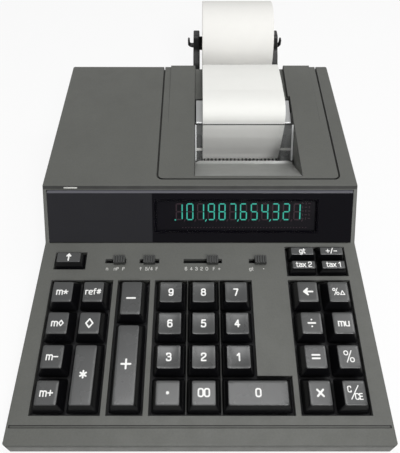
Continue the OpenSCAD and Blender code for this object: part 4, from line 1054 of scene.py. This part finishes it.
climb = paper["platen"][0] - paper["wrap"]  # where the strip rises in front of the platen
crown = topHeight(climb + 20) + paper["crest"]
rearY, rearZ = case["depth"], topHeight(case["depth"])
arch = [(climb - 3.2, 55), (climb - 3.4, topHeight(climb) + paper["crest"] - 1), (climb + 4, crown + 1.5),
        (climb + 21, crown)]
slide = [arch[3], (climb + 38, crown + 0.2), (rearY - 4, rearZ + 3.6), (rearY + 2.4, rearZ + 0.4)]
strip = [(roll["axis"][0], roll["axis"][1] - roll["radius"] - paper["underRoll"]), paper["supply"]]
strip += [slopeEnd(paper["platen"], paper["wrap"], 270 - 90 * i / paper["wrapSteps"])
          for i in range(paper["wrapSteps"] + 1)]
strip += [(climb - 0.4, 28.5), (climb - 1.6, 36), (climb - 2.8, 46)]
strip += bezier(arch, 24) + bezier(slide, 20)[1:]
strip += [(rearY + 4.6, rearZ - 2.6), (rearY + 5.6, rearZ - 6.4), (rearY + 6.0, rearZ - 18)]


def stripTree():
    tree, get = newTree("paperStrip", [("Path", "Geometry"), ("Width", "Float"), ("Rows", "Int"),
                                       ("Ripple", "Float"), ("Finish", "Material")])
    path = geoNode(tree, "MeshToCurve", {"Mesh": get["Path"]})
    grid = geoNode(tree, "MeshGrid", {"Size X": get["Width"], "Size Y": 1.0, "Vertices X": paper["columns"],
                                      "Vertices Y": get["Rows"]})
    place = parts(tree, position(tree))
    at = geoNode(tree, "SampleCurve", {"Curves": path, "Factor": plus(tree, place["Y"], 0.5)}, "Position",
                 mode="FACTOR")
    bent = moved(tree, grid, Position=vectorCalc(tree, "ADD", at, vector(tree, place["X"], 0.0, 0.0)))
    wave = {"Vector": position(tree), "Scale": paper["rippleScale"], "Detail": 1.0}
    lift = times(tree, less(tree, shaderNode(tree, "TexNoise", wave), 0.5), get["Ripple"])
    out = {0: geoNode(tree, "InputNormal"), "Scale": lift}
    waved = shaderNode(tree, "VectorMath", out, operation="SCALE")
    return closeTree(tree, moved(tree, bent, Offset=waved), get["Finish"])


path = bpy.data.meshes.new("strip path")
path.from_pydata([casePoint(paper["x"], *p) for p in strip], [(i, i + 1) for i in range(len(strip) - 1)], [])
sheet = grow(stripTree(), "paper_sheet", {"Width": paper["width"] * mm, "Rows": paper["rows"],
                                          "Ripple": paper["ripple"] * mm, "Finish": looks["paper"]}, path)
smoothFaces(thicken(sheet, paper["thick"], 0.0), 60)
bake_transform(sheet)
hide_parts("paper_web", "paper_tail")


def windingTree():
    tree, get = newTree("paperWindings", [("Core", "Float"), ("Radius", "Float"), ("Turns", "Float"),
                                          ("Width", "Float"), ("Thickness", "Float"), ("Finish", "Material")])
    spiral = geoNode(tree, "CurveSpiral", {
        "Resolution": roll["turnSteps"], "Rotations": get["Turns"], "Start Radius": get["Core"],
        "End Radius": get["Radius"], "Height": 0.0})
    upright = geoNode(tree, "SetCurveNormal", {"Curve": spiral}, mode="Z_UP")
    band = {"Width": get["Thickness"], "Height": get["Width"]}
    section = geoNode(tree, "CurvePrimitiveQuadrilateral", band)
    wound = geoNode(tree, "CurveToMesh", {"Curve": upright, "Profile Curve": section, "Fill Caps": True})
    return closeTree(tree, wound, get["Finish"])


step = (roll["radius"] - roll["core"] - roll["windFrom"]) / roll["turns"]
rollFrame = tilted(0, 0, 0) @ shifted(paper["x"], *roll["axis"]) @ Matrix.Rotation(rad(90), 4, "Y")
windings = grow(windingTree(), "roll_windings", {
    "Core": (roll["core"] + roll["windFrom"]) * mm, "Radius": (roll["radius"] - step / 2) * mm,
    "Turns": float(roll["turns"]), "Width": paper["width"] * mm, "Thickness": step * roll["share"] * mm,
    "Finish": looks["roll"]})
windings.data.transform(rollFrame)
fit(smoothFaces(windings, 45), "roll", "paper", "paper_roll")


def lathe(name, profile, look, place, sides):  # radius and place along the axis
    made = bmesh.new()
    turns = [2 * math.pi * i / sides for i in range(sides)]
    rings = [[made.verts.new((r * mm * math.cos(turn), r * mm * math.sin(turn), z * mm)) for turn in turns]
             for r, z in profile]
    for a, b in zip(rings, rings[1:] + rings[:1]):
        for i in range(sides):
            made.faces.new((a[i], a[(i + 1) % sides], b[(i + 1) % sides], b[i]))
    bmesh.ops.recalc_face_normals(made, faces=made.faces)
    obj = fromBmesh(name, made, look)
    obj.data.transform(place)
    return smoothFaces(obj, 35)


end = paper["width"] / 2
bodyEnd, bodyCore, bodyRim = end - roll["recess"], roll["core"] + roll["bodyFrom"], roll["radius"] - step / 2
half = [(bodyCore, -bodyEnd), (bodyRim, -bodyEnd), (roll["radius"], -bodyEnd + roll["rim"])]
body = lathe("roll_body", half + [(r, -z) for r, z in half[::-1]], "roll", rollFrame, roll["sides"])
fit(body, "roll", "paper", "paper_roll")
half = [(roll["core"], -end), (roll["core"] + roll["coreWall"], -end)]
core = lathe("roll_core", half + [(r, -z) for r, z in half[::-1]], "core", rollFrame, roll["coreSides"])
fit(core, "roll", "paper", "paper_roll")

# floor, light and camera
studio = {
    "floor": 3.0, "floorColour": (0.90, 0.90, 0.90, 1.0), "glow": 0.86, "ambient": 0.28,
    "aim": (0, -0.04, 0.03), "lamps": (  # name, place, width, depth, brightness
        ("front", (0.34, -0.93, 0.90), 0.30, 0.30, 24.0),
        ("low front", (0.25, -1.45, 0.42), 0.80, 0.25, 2.6),
        ("over keys", (0.02, -0.19, 0.88), 0.54, 0.32, 5.0),
        ("over right", (0.50, 0.08, 0.84), 0.16, 0.30, 7.5)),
}


def seenAsWhite(tree):  # 1 for rays that look at the background, straight or by way of metal and glass
    ray = addNode(tree, "ShaderNodeLightPath").outputs
    return larger(tree, ray["Is Camera Ray"], larger(tree, ray["Is Glossy Ray"], ray["Is Transmission Ray"]))


floorMesh = bpy.data.meshes.new("studio_floor")
s = studio["floor"]
floorMesh.from_pydata([(-s, -s, 0), (s, -s, 0), (s, s, 0), (-s, s, 0)], [], [(0, 1, 2, 3)])
floorLook, tree, shader, coords = blankMaterial("studioFloor")
fixed(shader, Roughness=0.9, Specular_IOR_Level=0.0)
wire(tree, shader, Base_Color=mottled(tree, noise(tree, coords, 120), studio["floorColour"], 1.0, 1.01))
white = shaderNode(tree, "Emission", {"Color": (1, 1, 1, 1), "Strength": 1.0})
glow = times(tree, seenAsWhite(tree), studio["glow"])
mixed = shaderNode(tree, "MixShader", {0: glow, 1: shader.outputs[0], 2: white})
tree.links.new(mixed, tree.nodes["Material Output"].inputs["Surface"])
floorMesh.materials.append(floorLook)
addObject("studio_floor", floorMesh)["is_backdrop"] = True

world = bpy.data.worlds.new("studio")
bpy.context.scene.world = world
world.use_nodes = True
tree = world.node_tree
background = tree.nodes["Background"]
fixed(background, Color=(1, 1, 1, 1))
wire(tree, background, Strength=span(tree, seenAsWhite(tree), 0.0, 1.0, studio["ambient"], 1.0))
for name, place, wide, deep, bright in studio["lamps"]:
    lamp = bpy.data.lights.new(name, "AREA")
    lamp.shape, lamp.size, lamp.size_y = "RECTANGLE", wide, deep
    lamp.energy = bright * math.pi * wide * deep
    holder = addObject(name, lamp)
    holder.location = place
    holder.rotation_euler = (Vector(studio["aim"]) - Vector(place)).to_track_quat("-Z", "Y").to_euler()
    holder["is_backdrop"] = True

view = {"height": 453, "focal": 481.13, "sensor": 36.0, "pitch": 51.026, "place": (0.0, -0.24249, 0.27454)}
lens = bpy.data.cameras.new("photo")
lens.sensor_fit, lens.sensor_width = "AUTO", view["sensor"]
lens.lens = view["focal"] * view["sensor"] / view["height"]
lens.clip_start, lens.clip_end = 0.01, 20.0
camera = addObject("photo", lens)
camera.location = view["place"]
camera.rotation_euler = (rad(90 - view["pitch"]), 0, 0)
bpy.context.scene.camera = camera
bpy.context.scene.view_settings.view_transform = "Standard"

low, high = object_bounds()
print("size written", [round(v, 4) for v in high - low])
